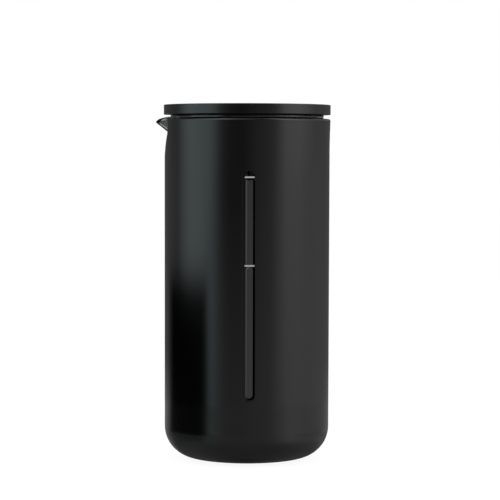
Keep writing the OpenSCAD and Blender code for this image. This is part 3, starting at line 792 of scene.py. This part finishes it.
cushion = {"ring": 10.0, "web": 1.6, "round": 1.2}
cushionRadius, cushionLow, cushionHigh = roundBox("beaker_cushion")
dishRadius, webZ = cushionRadius - cushion["ring"], cushionLow + cushion["web"]
lathePiece("beakerCushion", "beaker_cushion", [
    (0, cushionLow), (cushionRadius, cushionLow, 0.3), (cushionRadius, cushionHigh, cushion["round"]),
    (dishRadius, cushionHigh, cushion["round"]), (dishRadius, webZ, 0.8), (0, webZ)])

collar = {"inner": 45.4, "lip": 0.3}
collarRadius, collarLow, collarHigh = roundBox("beaker_collar")
collarMiddle, collarLip = (collarLow + collarHigh) / 2, collar["inner"] + collar["lip"]
lathePiece("beakerCollar", "beaker_collar", [
    (collarRadius, collarMiddle), (collarRadius, collarHigh, 0.2), (collarLip, collarHigh, 0.2),
    (collar["inner"], collarMiddle, 0.6), (collarLip, collarLow, 0.2), (collarRadius, collarLow, 0.2),
    (collarRadius, collarMiddle)])


# glass beaker with its pulled spout
beaker = {
    "wall": 1.8, "floor": 2.5, "corner": 12.0, "flat": 14.0, "fanRadius": 20.0, "start": 12.6,
    "spoutDepth": 10.7, "spoutHalf": 11.8, "spoutReach": 11.35, "spoutFall": 1.7, "tipDroop": 2.0,
    "droopLength": 9.5, "tipRound": 0.13, "tipShare": 1.25, "innerRise": 1.6, "innerReach": 0.9,
    "spread": 1.5, "rimOut": 0.06, "rimIn": 0.6, "beadHeight": 0.85, "beadDepth": 0.55, "neckEnd": 3.2,
    "roundSteps": 150, "spoutSteps": 72, "rows": 14,
}
glassRadius, glassLow, glassRim = roundBox("glass_beaker")


def spoutPush(across, height, inner):   # how far the wall is pulled out, at a height below the rim
    depth = beaker["spoutDepth"] - (beaker["innerRise"] if inner else 0)
    reach = beaker["spoutReach"] - (beaker["innerReach"] if inner else 0)
    grown = (1 - height / depth) / (1 - beaker["spoutFall"] / depth)
    if grown <= 0:
        return 0
    u = abs(across) / (beaker["spoutHalf"] * min(grown, 1.08) ** 0.62)
    if u >= 1:
        return 0
    soft = beaker["tipRound"]
    ridge = (sqrt(u * u + soft * soft) - soft) / (sqrt(1 + soft * soft) - soft)
    return reach * min(grown, 1.0) * (1 - ridge) ** beaker["tipShare"]


def beadNeck(height):                # how far the wall is drawn in under the rim's bead
    under = beaker["start"] * (1 - height) - beaker["beadHeight"]
    deep = beaker["beadDepth"]
    if under < deep:
        return max(under, 0)
    return deep * max(0, 1 - (under - deep) / (beaker["neckEnd"] - beaker["beadHeight"] - deep))


def beakerColumns():
    span = beaker["spoutHalf"] + beaker["spread"]
    turn = asin(span / glassRadius)
    rest = evenly(spoutSide + turn, spoutSide + fullTurn - turn, beaker["roundSteps"])[:-1]
    shares = evenly(-1, 1, beaker["spoutSteps"])[:-1]
    return [(side, 0) for side in rest] + [
        (spoutSide, span * (0.6 * share + 0.4 * share ** 3)) for share in shares]


def beakerRow(columns, radius, height, inner):
    # height is a share: 0 at the start of the spout's stretch, 1 at the rim
    row = []
    for side, across in columns:
        u = min(abs(across) / beaker["spoutHalf"], 1) if across or side == spoutSide else 1
        fall = 0
        if u < 1:
            fromTip = beaker["spoutReach"] - spoutPush(across, beaker["spoutFall"], False)
            droop = max(0, 1 - fromTip / beaker["droopLength"]) ** 2
            fall = beaker["spoutFall"] * (1 - u) ** 0.8 + beaker["tipDroop"] * droop
        level = -beaker["start"] + (beaker["start"] - fall) * height
        neck = 0 if inner else beadNeck(height) * u
        point = wallPoint(side, across, radius - neck, glassRim + level)
        if side == spoutSide:
            point.x -= spoutPush(across, -level, inner)
        row.append(point)
    return row


def buildBeaker():
    bm = bmesh.new()
    columns = beakerColumns()
    innerR, startZ = glassRadius - beaker["wall"], glassRim - beaker["start"]
    floor, corner, flat = glassLow + beaker["floor"], beaker["corner"], beaker["flat"]

    def floorRing(r, z):             # towards the middle the spout's columns fan out too
        if r < 1e-6 or r > beaker["fanRadius"]:
            return columnRing(columns, r, z)
        return [polar(-r, across / glassRadius, z) if across else polar(r, side, z)
                for side, across in columns]

    outside = [(0, glassLow), (flat, glassLow), (glassRadius, glassLow, corner), (glassRadius, startZ)]
    inside = [(innerR, startZ), (innerR, floor, corner - beaker["wall"]), (flat, floor), (0, floor)]
    below, above = [[floorRing(r, z) for r, z in subdivided(roundedLine(line, 12), 24)]
                    for line in (outside, inside)]
    bead, neckEnd = beaker["beadHeight"], beaker["neckEnd"]
    under = evenly(beaker["start"], neckEnd, beaker["rows"])
    under += evenly(neckEnd, bead + beaker["beadDepth"], 4)[1:]
    under += [bead + 0.45, bead + 0.1, bead, bead - 0.1, bead / 2, 0.08, 0.03, 0]
    shares = [1 - depth / beaker["start"] for depth in under]
    outer = [beakerRow(columns, glassRadius, share, False) for share in shares]
    inner = [beakerRow(columns, innerR, share, True) for share in shares]
    rims = (outer, beaker["rimOut"], 1), (inner, beaker["rimIn"], -1)
    for rows, rise, _ in rims:
        for point in (point for row in rows for point in row):
            point.z -= rise * max(0, (point.z - startZ) / beaker["start"])
    inwards = [Vector((b.x - a.x, b.y - a.y, 0)).normalized() for a, b in zip(outer[-1], inner[-1])]
    rounding = []
    for rows, rise, way in rims:     # a quarter round from each wall up to the rim
        rounding.append([[point + (across * way * (1 - cos(turn)) + Vector((0, 0, sin(turn)))) * rise
                          for point, across in zip(rows[-1], inwards)] for turn in evenly(0, pi / 2, 4)[1:]])
    addRows(bm, below[:-1] + outer + rounding[0] + rounding[1][::-1] + inner[::-1] + above[1:])
    makePiece("glassBeaker", "glass_beaker", bm, sharp=60)


buildBeaker()


# press disc
disc = {"top": 2.0, "wall": 2.3, "upperEdge": 0.35, "lowerEdge": 0.22, "plateBore": 3.05}
discRadius, discLow, discHigh = roundBox("disc_cap")
cavity, ceiling = discRadius - disc["wall"], discHigh - disc["top"]
lathePiece("discCap", "disc_cap", [
    (0, discHigh), (discRadius, discHigh, disc["upperEdge"]), (discRadius, discLow, disc["lowerEdge"]),
    (cavity, discLow, 0.3), (cavity, ceiling, 0.3), (0, ceiling)], 224, 6)
pressRadius, pressLow, pressHigh = roundBox("disc_plate")
borePoint = disc["plateBore"], pressLow + 0.5
lathePiece("discPlate", "disc_plate", [
    borePoint, (disc["plateBore"], pressLow, 0.1), (pressRadius, pressLow, 0.3),
    (pressRadius, pressHigh, 0.1), (disc["plateBore"], pressHigh, 0.1), borePoint], 192)


# lid
lid = {
    "rodHole": 3.3, "bossRadius": 3.4, "screwCircle": 27.0, "screwCount": 3, "skirtInner": 38.1,
    "webThick": 1.6, "hubRadius": 9.5, "hubBore": 6.05, "hubRise": 2.9, "windowHalf": 11.0,
    "windowLow": 193.3, "windowHigh": 197.9, "grooveDeep": 1.4, "sideSteps": 12, "roundSteps": 144,
}
coverRadius, bossLow, coverHigh = roundBox("lid_cover")
sealRadius, sealLow, sealHigh = roundBox("lid_seal")


def buildLidCover():
    bm = bmesh.new()
    hole, half = lid["rodHole"], (coverHigh - glassRim) / 2
    middle = glassRim + half
    addLathe(bm, [(hole, middle), (hole, glassRim, 0.1), (coverRadius - half, glassRim),
                  (coverRadius, middle, 0.06), (coverRadius - half, coverHigh), (hole, coverHigh, 0.1),
                  (hole, middle)], 192)
    for i in range(lid["screwCount"]):
        start = len(bm.verts)
        addLathe(bm, [(0, bossLow), (lid["bossRadius"], bossLow, 0.2), (lid["bossRadius"], glassRim + 0.2),
                      (0, glassRim + 0.2)], 32)
        bm.verts.ensure_lookup_table()
        place = polar(lid["screwCircle"], fullTurn * i / lid["screwCount"], 0)
        bmesh.ops.translate(bm, vec=place, verts=bm.verts[start:])
    makePiece("lidCover", "lid_cover", bm)


def windowColumns(radius):           # a band across the spout's side, then the rest around
    half = lid["windowHalf"]
    turn = asin(half / radius)
    rest = evenly(spoutSide + turn, spoutSide + fullTurn - turn, lid["roundSteps"])[1:-1]
    band = evenly(-half, half, lid["sideSteps"])
    return [(spoutSide, across) for across in band] + [(side, 0) for side in rest]


def buildLidCore():
    bm = bmesh.new()
    radius, low, high = roundBox("lid_core")
    inner, groove, band = lid["skirtInner"], radius - lid["grooveDeep"], lid["sideSteps"]
    windowLow, windowHigh = lid["windowLow"], lid["windowHigh"]
    columns = windowColumns(radius)
    below = [(radius, windowLow), (radius, sealHigh, 0.15), (groove, sealHigh), (groove, sealLow),
             (radius, sealLow, 0.15), (radius, low, 0.5), (inner, low, 0.5), (inner, windowLow)]
    above = [(inner, windowHigh), (inner, high, 0.2), (radius, high, 0.2), (radius, windowHigh)]
    lower, upper = [addRows(bm, [columnRing(columns, r, z) for r, z in supported(roundedLine(line))])
                    for line in (below, above)]
    for i in range(band, len(columns)):      # the wall beside the window
        j = (i + 1) % len(columns)
        for first, second in ((lower[-1], upper[0]), (upper[-1], lower[0])):
            bm.faces.new([first[i], first[j], second[j], second[i]])
    for i in (0, band):              # the window's two sides
        bm.faces.new([lower[0][i], upper[-1][i], upper[0][i], lower[-1][i]])
    for i in range(band):            # its sill and its head
        for rows in (lower, upper):
            bm.faces.new([rows[0][i], rows[0][i + 1], rows[-1][i + 1], rows[-1][i]])
    hub, bore, lap = lid["hubRadius"], lid["hubBore"], inner + 0.2
    webLow, hubLow = bossLow - lid["webThick"], low + lid["hubRise"]
    addLathe(bm, [(bore, bossLow - 0.5), (bore, bossLow, 0.15), (lap, bossLow), (lap, webLow),
                  (hub, webLow, 0.6), (hub, hubLow, 0.4), (bore, hubLow, 0.2), (bore, bossLow - 0.5)], 144)
    makePiece("lidCore", "lid_core", bm)


strainer = {"fit": 0.05, "thick": 0.5, "lap": 1.4, "slits": 9, "slitWide": 1.1, "slitEnd": 0.4,
            "slitSide": 1.0, "edge": 0.1}


def buildStrainer():                 # a bent strip with upright slits
    bm = bmesh.new()
    outer, half, slits = lid["skirtInner"] - strainer["fit"], lid["windowHalf"], strainer["slits"]
    pitch = (2 * half - 2 * strainer["slitSide"]) / slits
    edges = [-half - strainer["lap"]]
    for i in range(slits):
        middle = (i - (slits - 1) / 2) * pitch
        edges += [middle - strainer["slitWide"] / 2, middle + strainer["slitWide"] / 2]
    edges.append(half + strainer["lap"])
    levels = [lid["windowLow"] - strainer["lap"], lid["windowLow"] + strainer["slitEnd"],
              lid["windowHigh"] - strainer["slitEnd"], bossLow - lid["webThick"] - strainer["fit"]]
    fore, rear = [[[bm.verts.new(wallPoint(spoutSide, x, radius, z)) for x in edges] for z in levels]
                  for radius in (outer, outer - strainer["thick"])]
    solid = [(row, col) for row in range(3) for col in range(len(edges) - 1) if row != 1 or col % 2 == 0]
    for row, col in solid:
        corners = [(row, col), (row, col + 1), (row + 1, col + 1), (row + 1, col)]
        nearby = [(row - 1, col), (row, col + 1), (row + 1, col), (row, col - 1)]
        for sheet in (fore, rear):
            bm.faces.new([sheet[i][k] for i, k in corners])
        for here, there, near in zip(corners, corners[1:] + corners[:1], nearby):
            if near not in solid:    # the strip ends here
                (a, b), (c, d) = sorted((here, there))
                bm.faces.new([fore[a][b], fore[c][d], rear[c][d], rear[a][b]])
    piece = newObject("pourStrainer", finishMesh("pourStrainer", bm))
    bevel = piece.modifiers.new("edges", "BEVEL")
    bevel.width = strainer["edge"] * mm
    bevel.segments = 2
    dress(piece, "pour_strainer", 38)


buildLidCover()
buildLidCore()
buildStrainer()

seal = {"bore": 39.95, "flat": 41.3, "waist": 41.4, "lip": 0.24}
sealTall = sealHigh - sealLow
lathePiece("lidSeal", "lid_seal", [
    (seal["bore"], sealLow + 1), (seal["bore"], sealLow, 0.15), (seal["flat"], sealLow, 0.3),
    (sealRadius, sealLow + sealTall * seal["lip"], 0.25), (seal["waist"], sealLow + sealTall * 0.5, 0.3),
    (sealRadius, sealHigh - sealTall * seal["lip"], 0.25), (seal["flat"], sealHigh, 0.3),
    (seal["bore"], sealHigh, 0.15), (seal["bore"], sealLow + 1)], 192, 4)

bush = {"bore": 3.05, "sleeve": 6.0, "flange": 1.4}
bushRadius, bushLow, bushHigh = roundBox("rod_bush")
flangeHigh = bushLow + bush["flange"]
lathePiece("rodBush", "rod_bush", [
    (bush["bore"], bushLow + 2), (bush["bore"], bushLow, 0.3), (bushRadius, bushLow, 0.3),
    (bushRadius, flangeHigh, 0.1), (bush["sleeve"], flangeHigh), (bush["sleeve"], bushHigh, 0.4),
    (bush["bore"], bushHigh, 0.3), (bush["bore"], bushLow + 2)], 96)


# geometry node trees for what repeats
def newTree(name, counts, lengths):  # its inputs are a shape, whole numbers, lengths and a material
    tree = bpy.data.node_groups.new(name, "GeometryNodeTree")
    kinds = {"Geometry": "Geometry", **dict.fromkeys(counts, "Int"), **dict.fromkeys(lengths, "Float"),
             "Material": "Material"}
    for label, kind in kinds.items():
        tree.interface.new_socket(label, in_out="INPUT", socket_type="NodeSocket" + kind)
    tree.interface.new_socket("Geometry", in_out="OUTPUT", socket_type="NodeSocketGeometry")
    return tree, tree.nodes.new("NodeGroupInput").outputs


def shapeNode(tree, kind, *values, **settings):
    return nodeOut(tree, "GeometryNode" + kind, *values, **settings)


def onAxis(tree, axis, value):       # a vector along x (0), y (1) or z (2)
    return nodeOut(tree, "CombineXYZ", {axis: value})


def joined(tree, *shapes):
    join = tree.nodes.new("GeometryNodeJoinGeometry")
    for shape in shapes:
        tree.links.new(shape, join.inputs[0])
    return join.outputs[0]


def lifted(tree, shape, given):
    return shapeNode(tree, "Transform", {"Geometry": shape, "Translation": onAxis(tree, 2, given["Height"])})


def wireAlong(tree, curve, sides, radius, capped):
    profile = shapeNode(tree, "CurvePrimitiveCircle", {"Resolution": sides, "Radius": radius})
    return shapeNode(tree, "CurveToMesh", {"Curve": curve, "Profile Curve": profile, "Fill Caps": capped})


def endTree(tree, shape, given):
    whole = shapeNode(tree, "RealizeInstances", shape)
    painted = shapeNode(tree, "SetMaterial", {"Geometry": whole, "Material": given["Material"]})
    addNode(tree, "NodeGroupOutput", painted)
    return tree


def growPiece(name, tree, slot, counts, lengths, seedMesh=None):   # runs a tree and keeps what it makes
    seed = newObject(name + "Seed", seedMesh or bpy.data.meshes.new(name + "Seed"))
    modifier = seed.modifiers.new(name, "NODES")
    modifier.node_group = tree
    values = {"Material": finishes[slot], **counts, **{label: size * mm for label, size in lengths.items()}}
    for item in tree.interface.items_tree:
        if item.in_out == "INPUT" and item.name in values:
            modifier[item.identifier] = values[item.name]
    mesh = bpy.data.meshes.new_from_object(seed.evaluated_get(bpy.context.evaluated_depsgraph_get()))
    bpy.data.objects.remove(seed)
    mesh.name = name
    return newObject(name, mesh)


def makeRingTree():                  # copies of one small part, evenly round a circle
    tree, given = newTree("ringOfCopies", ["Count"], ["Radius", "Height"])
    ring = shapeNode(tree, "MeshCircle", {"Vertices": given["Count"], "Radius": given["Radius"]})
    step = mathNode(tree, "DIVIDE", fullTurn, given["Count"])
    facing = mathNode(tree, "MULTIPLY", shapeNode(tree, "InputIndex"), step)
    sockets = {"Points": lifted(tree, ring, given), "Instance": given["Geometry"],
               "Rotation": onAxis(tree, 2, facing)}
    return endTree(tree, shapeNode(tree, "InstanceOnPoints", sockets), given)


def makeCoilTree():                  # a wire wound round a ring
    lengths = ["Ring Radius", "Coil Radius", "Wire Radius", "Height"]
    tree, given = newTree("ringCoil", ["Coils", "Points Per Coil"], lengths)
    calc = partial(mathNode, tree)
    count = calc("MULTIPLY", given["Coils"], given["Points Per Coil"])
    travelled = calc("MULTIPLY", shapeNode(tree, "InputIndex"), fullTurn)
    around = calc("DIVIDE", travelled, count)
    winding = calc("DIVIDE", travelled, given["Points Per Coil"])
    radius = calc("MULTIPLY_ADD", calc("COSINE", winding), given["Coil Radius"], given["Ring Radius"])
    x, y = [calc("MULTIPLY", radius, calc(wave, around)) for wave in ("COSINE", "SINE")]
    z = calc("MULTIPLY_ADD", calc("SINE", winding), given["Coil Radius"], given["Height"])
    line = shapeNode(tree, "MeshLine", {"Count": count})
    sockets = {"Geometry": line, "Position": nodeOut(tree, "CombineXYZ", x, y, z)}
    curve = shapeNode(tree, "MeshToCurve", shapeNode(tree, "SetPosition", sockets))
    closed = shapeNode(tree, "SetSplineCyclic", {"Geometry": curve, "Cyclic": True})
    return endTree(tree, wireAlong(tree, closed, 6, given["Wire Radius"], False), given)


def makeWeaveTree():                 # two sets of waved wires across a round field
    tree, given = newTree("wovenScreen", ["Rows"], ["Pitch", "Radius", "Wire Radius", "Height"])
    calc = partial(mathNode, tree)
    rows, pitch = given["Rows"], given["Pitch"]
    start = calc("MULTIPLY", calc("MULTIPLY", calc("MULTIPLY", rows, pitch), 0.5), -1.0)
    runs = [(calc("MULTIPLY_ADD", rows, 2.0, 1.0), calc("MULTIPLY", pitch, 0.5)),
            (calc("ADD", rows, 1.0), pitch)]
    along, across = [
        shapeNode(tree, "MeshLine", {"Count": count, "Start Location": onAxis(tree, axis, start),
                                     "Offset": onAxis(tree, axis, step)})
        for axis, (count, step) in enumerate(runs)]
    copies = shapeNode(tree, "InstanceOnPoints", {"Points": across, "Instance": along})
    field = shapeNode(tree, "RealizeInstances", copies)
    place = shapeNode(tree, "InputPosition")
    axes = addNode(tree, "SeparateXYZ", place).outputs
    wave = calc("COSINE", calc("MULTIPLY", calc("DIVIDE", axes[0], pitch), pi))
    side = calc("COSINE", calc("MULTIPLY", calc("ROUND", calc("DIVIDE", axes[1], pitch)), pi))
    sway = calc("MULTIPLY", calc("MULTIPLY", wave, side), given["Wire Radius"])
    waved = shapeNode(tree, "SetPosition", {"Geometry": field, "Offset": onAxis(tree, 2, sway)})
    distance = addNode(tree, "VectorMath", place, operation="LENGTH").outputs["Value"]
    outside = nodeOut(tree, "FunctionNodeCompare", distance, given["Radius"], data_type="FLOAT",
                      operation="GREATER_THAN")
    kept = shapeNode(tree, "DeleteGeometry", {"Geometry": waved, "Selection": outside})
    wires = wireAlong(tree, shapeNode(tree, "MeshToCurve", kept), 3, given["Wire Radius"], True)
    crossing = shapeNode(tree, "Transform", {"Geometry": wires, "Rotation": (pi, 0, pi / 2)})
    return endTree(tree, lifted(tree, joined(tree, wires, crossing), given), given)


def makePlateTree():                 # a flat sheet with two circles of round holes
    tree, given = newTree("perforatedPlate", ["Inner Count", "Outer Count"], [
        "Radius", "Thickness", "Height", "Hole Radius", "Centre Hole", "Inner Circle", "Outer Circle"])
    outline, centre, hole = [
        shapeNode(tree, "CurvePrimitiveCircle", {"Resolution": steps, "Radius": given[radius]})
        for steps, radius in ((144, "Radius"), (32, "Centre Hole"), (24, "Hole Radius"))]
    loops = [outline, centre]
    for ring in ("Inner", "Outer"):
        sockets = {"Vertices": given[ring + " Count"], "Radius": given[ring + " Circle"]}
        spots = shapeNode(tree, "MeshCircle", sockets)
        holes = shapeNode(tree, "InstanceOnPoints", {"Points": spots, "Instance": hole})
        loops.append(shapeNode(tree, "RealizeInstances", holes))
    sheet = shapeNode(tree, "FillCurve", {"Curve": joined(tree, *loops)})
    raised = shapeNode(tree, "ExtrudeMesh", {"Mesh": sheet, "Offset": onAxis(tree, 2, 1.0),
                                             "Offset Scale": given["Thickness"], "Individual": False})
    closed = joined(tree, raised, shapeNode(tree, "FlipFaces", sheet))
    merged = shapeNode(tree, "MergeByDistance", {"Geometry": closed, "Distance": 1e-5})
    return endTree(tree, lifted(tree, merged, given), given)


# lid screws: button heads with a hexagonal socket, hanging from their seat
screw = {"head": 2.4, "tall": 1.3, "round": 0.7, "socket": 0.9, "deep": 0.8, "point": 0.2, "steps": 36}


def hexagon(flat, z, steps, most=99):    # six sides at the distance flat from the middle, corners cut at most
    turns = [fullTurn * i / steps for i in range(steps)]
    return [polar(min(flat / cos((turn + pi / 6) % (pi / 3) - pi / 6), most), turn, z) for turn in turns]


def screwMesh():
    bm = bmesh.new()
    head, tall, steps = screw["head"], screw["tall"], screw["steps"]
    bottom = screw["deep"] - tall
    line = roundedLine([(head, 0), (head, -tall, screw["round"]), (0, -tall)], 6)[:-1]
    rows = [circle(0, 0, steps)] + [circle(r, z, steps) for r, z in line]
    rows += [hexagon(screw["socket"], z, steps) for z in (-tall, bottom)]
    addRows(bm, rows + [circle(0, bottom + screw["point"], steps)])
    return finishMesh("lidScrew", bm)


dress(growPiece("lidScrews", makeRingTree(), "screw_steel", {"Count": lid["screwCount"]}, {
    "Radius": lid["screwCircle"], "Height": bossLow - lid["webThick"]}, screwMesh()), "lid_screws", 35)


# edge spring
spring = {"coils": 130, "pointsPerCoil": 10, "wire": 0.3}
springRadius, springLow, springHigh = roundBox("edge_spring")
coilOut = (springHigh - springLow) / 2
counts = {"Coils": spring["coils"], "Points Per Coil": spring["pointsPerCoil"]}
dress(growPiece("edgeSpring", makeCoilTree(), "plate_steel", counts, {
    "Ring Radius": springRadius - coilOut, "Coil Radius": coilOut - spring["wire"],
    "Wire Radius": spring["wire"], "Height": (springLow + springHigh) / 2}), "edge_spring")


# mesh screen: a woven field with an upturned edge
screen = {"pitch": 1.0, "wire": 0.14, "lipWires": 268, "lipRings": 4, "sheet": 0.3}
meshRadius, meshLow, meshHigh = roundBox("mesh_screen")


def addLip(bm, bottom, top):         # the upturned edge: upright wires, and rings woven through them
    wire, count = screen["wire"], screen["lipWires"]
    levels = evenly(bottom, top, screen["lipRings"] + 1)

    def centre(i, k, way):
        sway = way * wire * (1 if (i + k) % 2 else -1)
        return fullTurn * k / count, meshRadius - 2 * wire + sway, levels[i]

    for k in range(count):
        addWire(bm, [centre(i, k, 1) for i in range(len(levels))], False)
    for i in range(1, len(levels) - 1):
        addWire(bm, [centre(i, k, -1) for k in range(count)], True)


def addWire(bm, centres, isRing):
    rows = []
    for turn, r, z in centres:
        outward = polar(1, turn, 0)
        aside = Vector((0, 0, 1)) if isRing else polar(1, turn + pi / 2, 0)
        rows.append([polar(r, turn, z) + (outward * cos(a) + aside * sin(a)) * screen["wire"]
                     for a in evenly(0, fullTurn, 3)[:-1]])
    made = addRows(bm, rows)
    if isRing:
        for i in range(3):
            addFace(bm, made[-1][i - 1], made[-1][i], made[0][i], made[0][i - 1])
    else:
        addFace(bm, *made[0])
        addFace(bm, *made[-1])


def buildScreen():
    flatRadius = meshRadius - 3 * screen["wire"]
    counts = {"Rows": 2 * ceil(flatRadius / screen["pitch"])}
    weave = growPiece("wovenField", makeWeaveTree(), "mesh_steel", counts, {
        "Pitch": screen["pitch"], "Radius": flatRadius, "Wire Radius": screen["wire"],
        "Height": meshLow + screen["sheet"] / 2})
    bm = bmesh.new()
    addLip(bm, meshLow + screen["wire"], meshHigh)
    dress(newObject("meshScreen", finishMesh("meshScreen", bm, weave)), "mesh_screen")


buildScreen()


# spring plate: perforated sheet with an upturned edge
plateSheet = {"thick": 0.8, "hole": 3.6, "centreHole": 3.05, "innerCount": 8, "innerCircle": 16.5,
              "outerCount": 16, "outerCircle": 29.0, "lap": 0.4, "edgeLap": 0.6}
sheetRadius, sheetLow, sheetHigh = roundBox("spring_plate")


def buildSpringPlate():
    thick, inner = plateSheet["thick"], sheetRadius - plateSheet["thick"]
    start, upper = inner - plateSheet["edgeLap"], sheetLow + thick
    counts = {"Inner Count": plateSheet["innerCount"], "Outer Count": plateSheet["outerCount"]}
    flat = growPiece("plateSheet", makePlateTree(), "plate_steel", counts, {
        "Radius": sheetRadius - plateSheet["lap"], "Thickness": thick, "Height": sheetLow,
        "Hole Radius": plateSheet["hole"], "Centre Hole": plateSheet["centreHole"],
        "Inner Circle": plateSheet["innerCircle"], "Outer Circle": plateSheet["outerCircle"]})
    bm = bmesh.new()
    addLathe(bm, [(start, sheetLow + 0.4), (start, sheetLow), (sheetRadius, sheetLow, 0.7),
                  (sheetRadius, sheetHigh, 0.25), (inner, sheetHigh, 0.25), (inner, upper, 0.3),
                  (start, upper), (start, sheetLow + 0.4)], 144)
    dress(newObject("springPlate", finishMesh("springPlate", bm, flat)), "spring_plate", 30)


buildSpringPlate()


# plunger rod with its threads, its stop collar and the hub nut
rod = {"radius": 3.0, "thread": 2.5, "pitch": 0.8, "depth": 0.42, "lowThread": 32.0, "lowRows": 80,
       "highRows": 20, "shoulder": 0.2, "fit": 0.05, "steps": 24}


def threadRing(z):                   # one level of a screw thread
    ring = []
    for i in range(rod["steps"]):
        share = i / rod["steps"]
        phase = (z / rod["pitch"] - share) % 1
        ring.append(polar(rod["thread"] - rod["depth"] * abs(2 * phase - 1), fullTurn * share, z))
    return ring


def buildRod():
    bm = bmesh.new()
    _, low, high = roundBox("plunger_rod")
    radius, root, end = rod["radius"], rod["thread"] - rod["depth"], rod["thread"] - rod["shoulder"]
    lowThread, highThread = rod["lowThread"], pressHigh - rod["fit"]
    shaft = [(end, lowThread), (radius, lowThread, 0.3), (radius, highThread, 0.3), (end, highThread)]
    rows = [threadRing(z) for z in evenly(low + 0.1, lowThread - 0.1, rod["lowRows"])]
    rows += [circle(r, z, rod["steps"]) for r, z in supported(roundedLine(shaft))]
    rows += [threadRing(z) for z in evenly(highThread + 0.1, high - 0.1, rod["highRows"])]
    foot, top = [[circle(r, z, rod["steps"]) for r in (0, root)] for z in (low, high)]
    addRows(bm, foot + rows + top[::-1])
    makePiece("plungerRod", "plunger_rod", bm, sharp=32)


nut = {"flats": 12.0, "bore": 2.1, "sink": 0.4, "chamfer": 0.5, "topEdge": 0.01, "steps": 72}


def buildNut():
    bm = bmesh.new()
    _, low, high = roundBox("hub_nut")
    half, bore, sink, steps = nut["flats"] / 2, nut["bore"], nut["sink"], nut["steps"]
    corner, chamfer = half / cos(pi / 6), nut["chamfer"]
    sides = [(low, half), (low + chamfer * 0.5, (half + corner) / 2), (low + chamfer, corner),
             (high - nut["topEdge"], corner)]
    hole = [(bore + sink, high), (bore, high - sink), (bore, low + sink), (bore + sink, low)]
    rows = [circle(bore + sink, low, steps)] + [hexagon(half, z, steps, most) for z, most in sides]
    addRows(bm, rows + [circle(r, z, steps) for r, z in hole])
    makePiece("hubNut", "hub_nut", bm, sharp=20)


buildRod()
buildNut()

stop = {"bore": 3.02}
stopRadius, stopLow, stopHigh = roundBox("rod_collar")
lathePiece("rodCollar", "rod_collar", [
    (stop["bore"], stopLow + 0.5), (stop["bore"], stopLow, 0.1), (stopRadius, stopLow, 0.3),
    (stopRadius, stopHigh, 0.5), (stop["bore"], stopHigh, 0.3), (stop["bore"], stopLow + 0.5)], 72)
print("pieces ready")


# nodes that keep their own shape get their finish
for name, node in sorted(frame["nodes"].items()):
    if not node.hide_render:
        for slot in node.material_slots:
            slot.material = finishes[slotOf[name]]
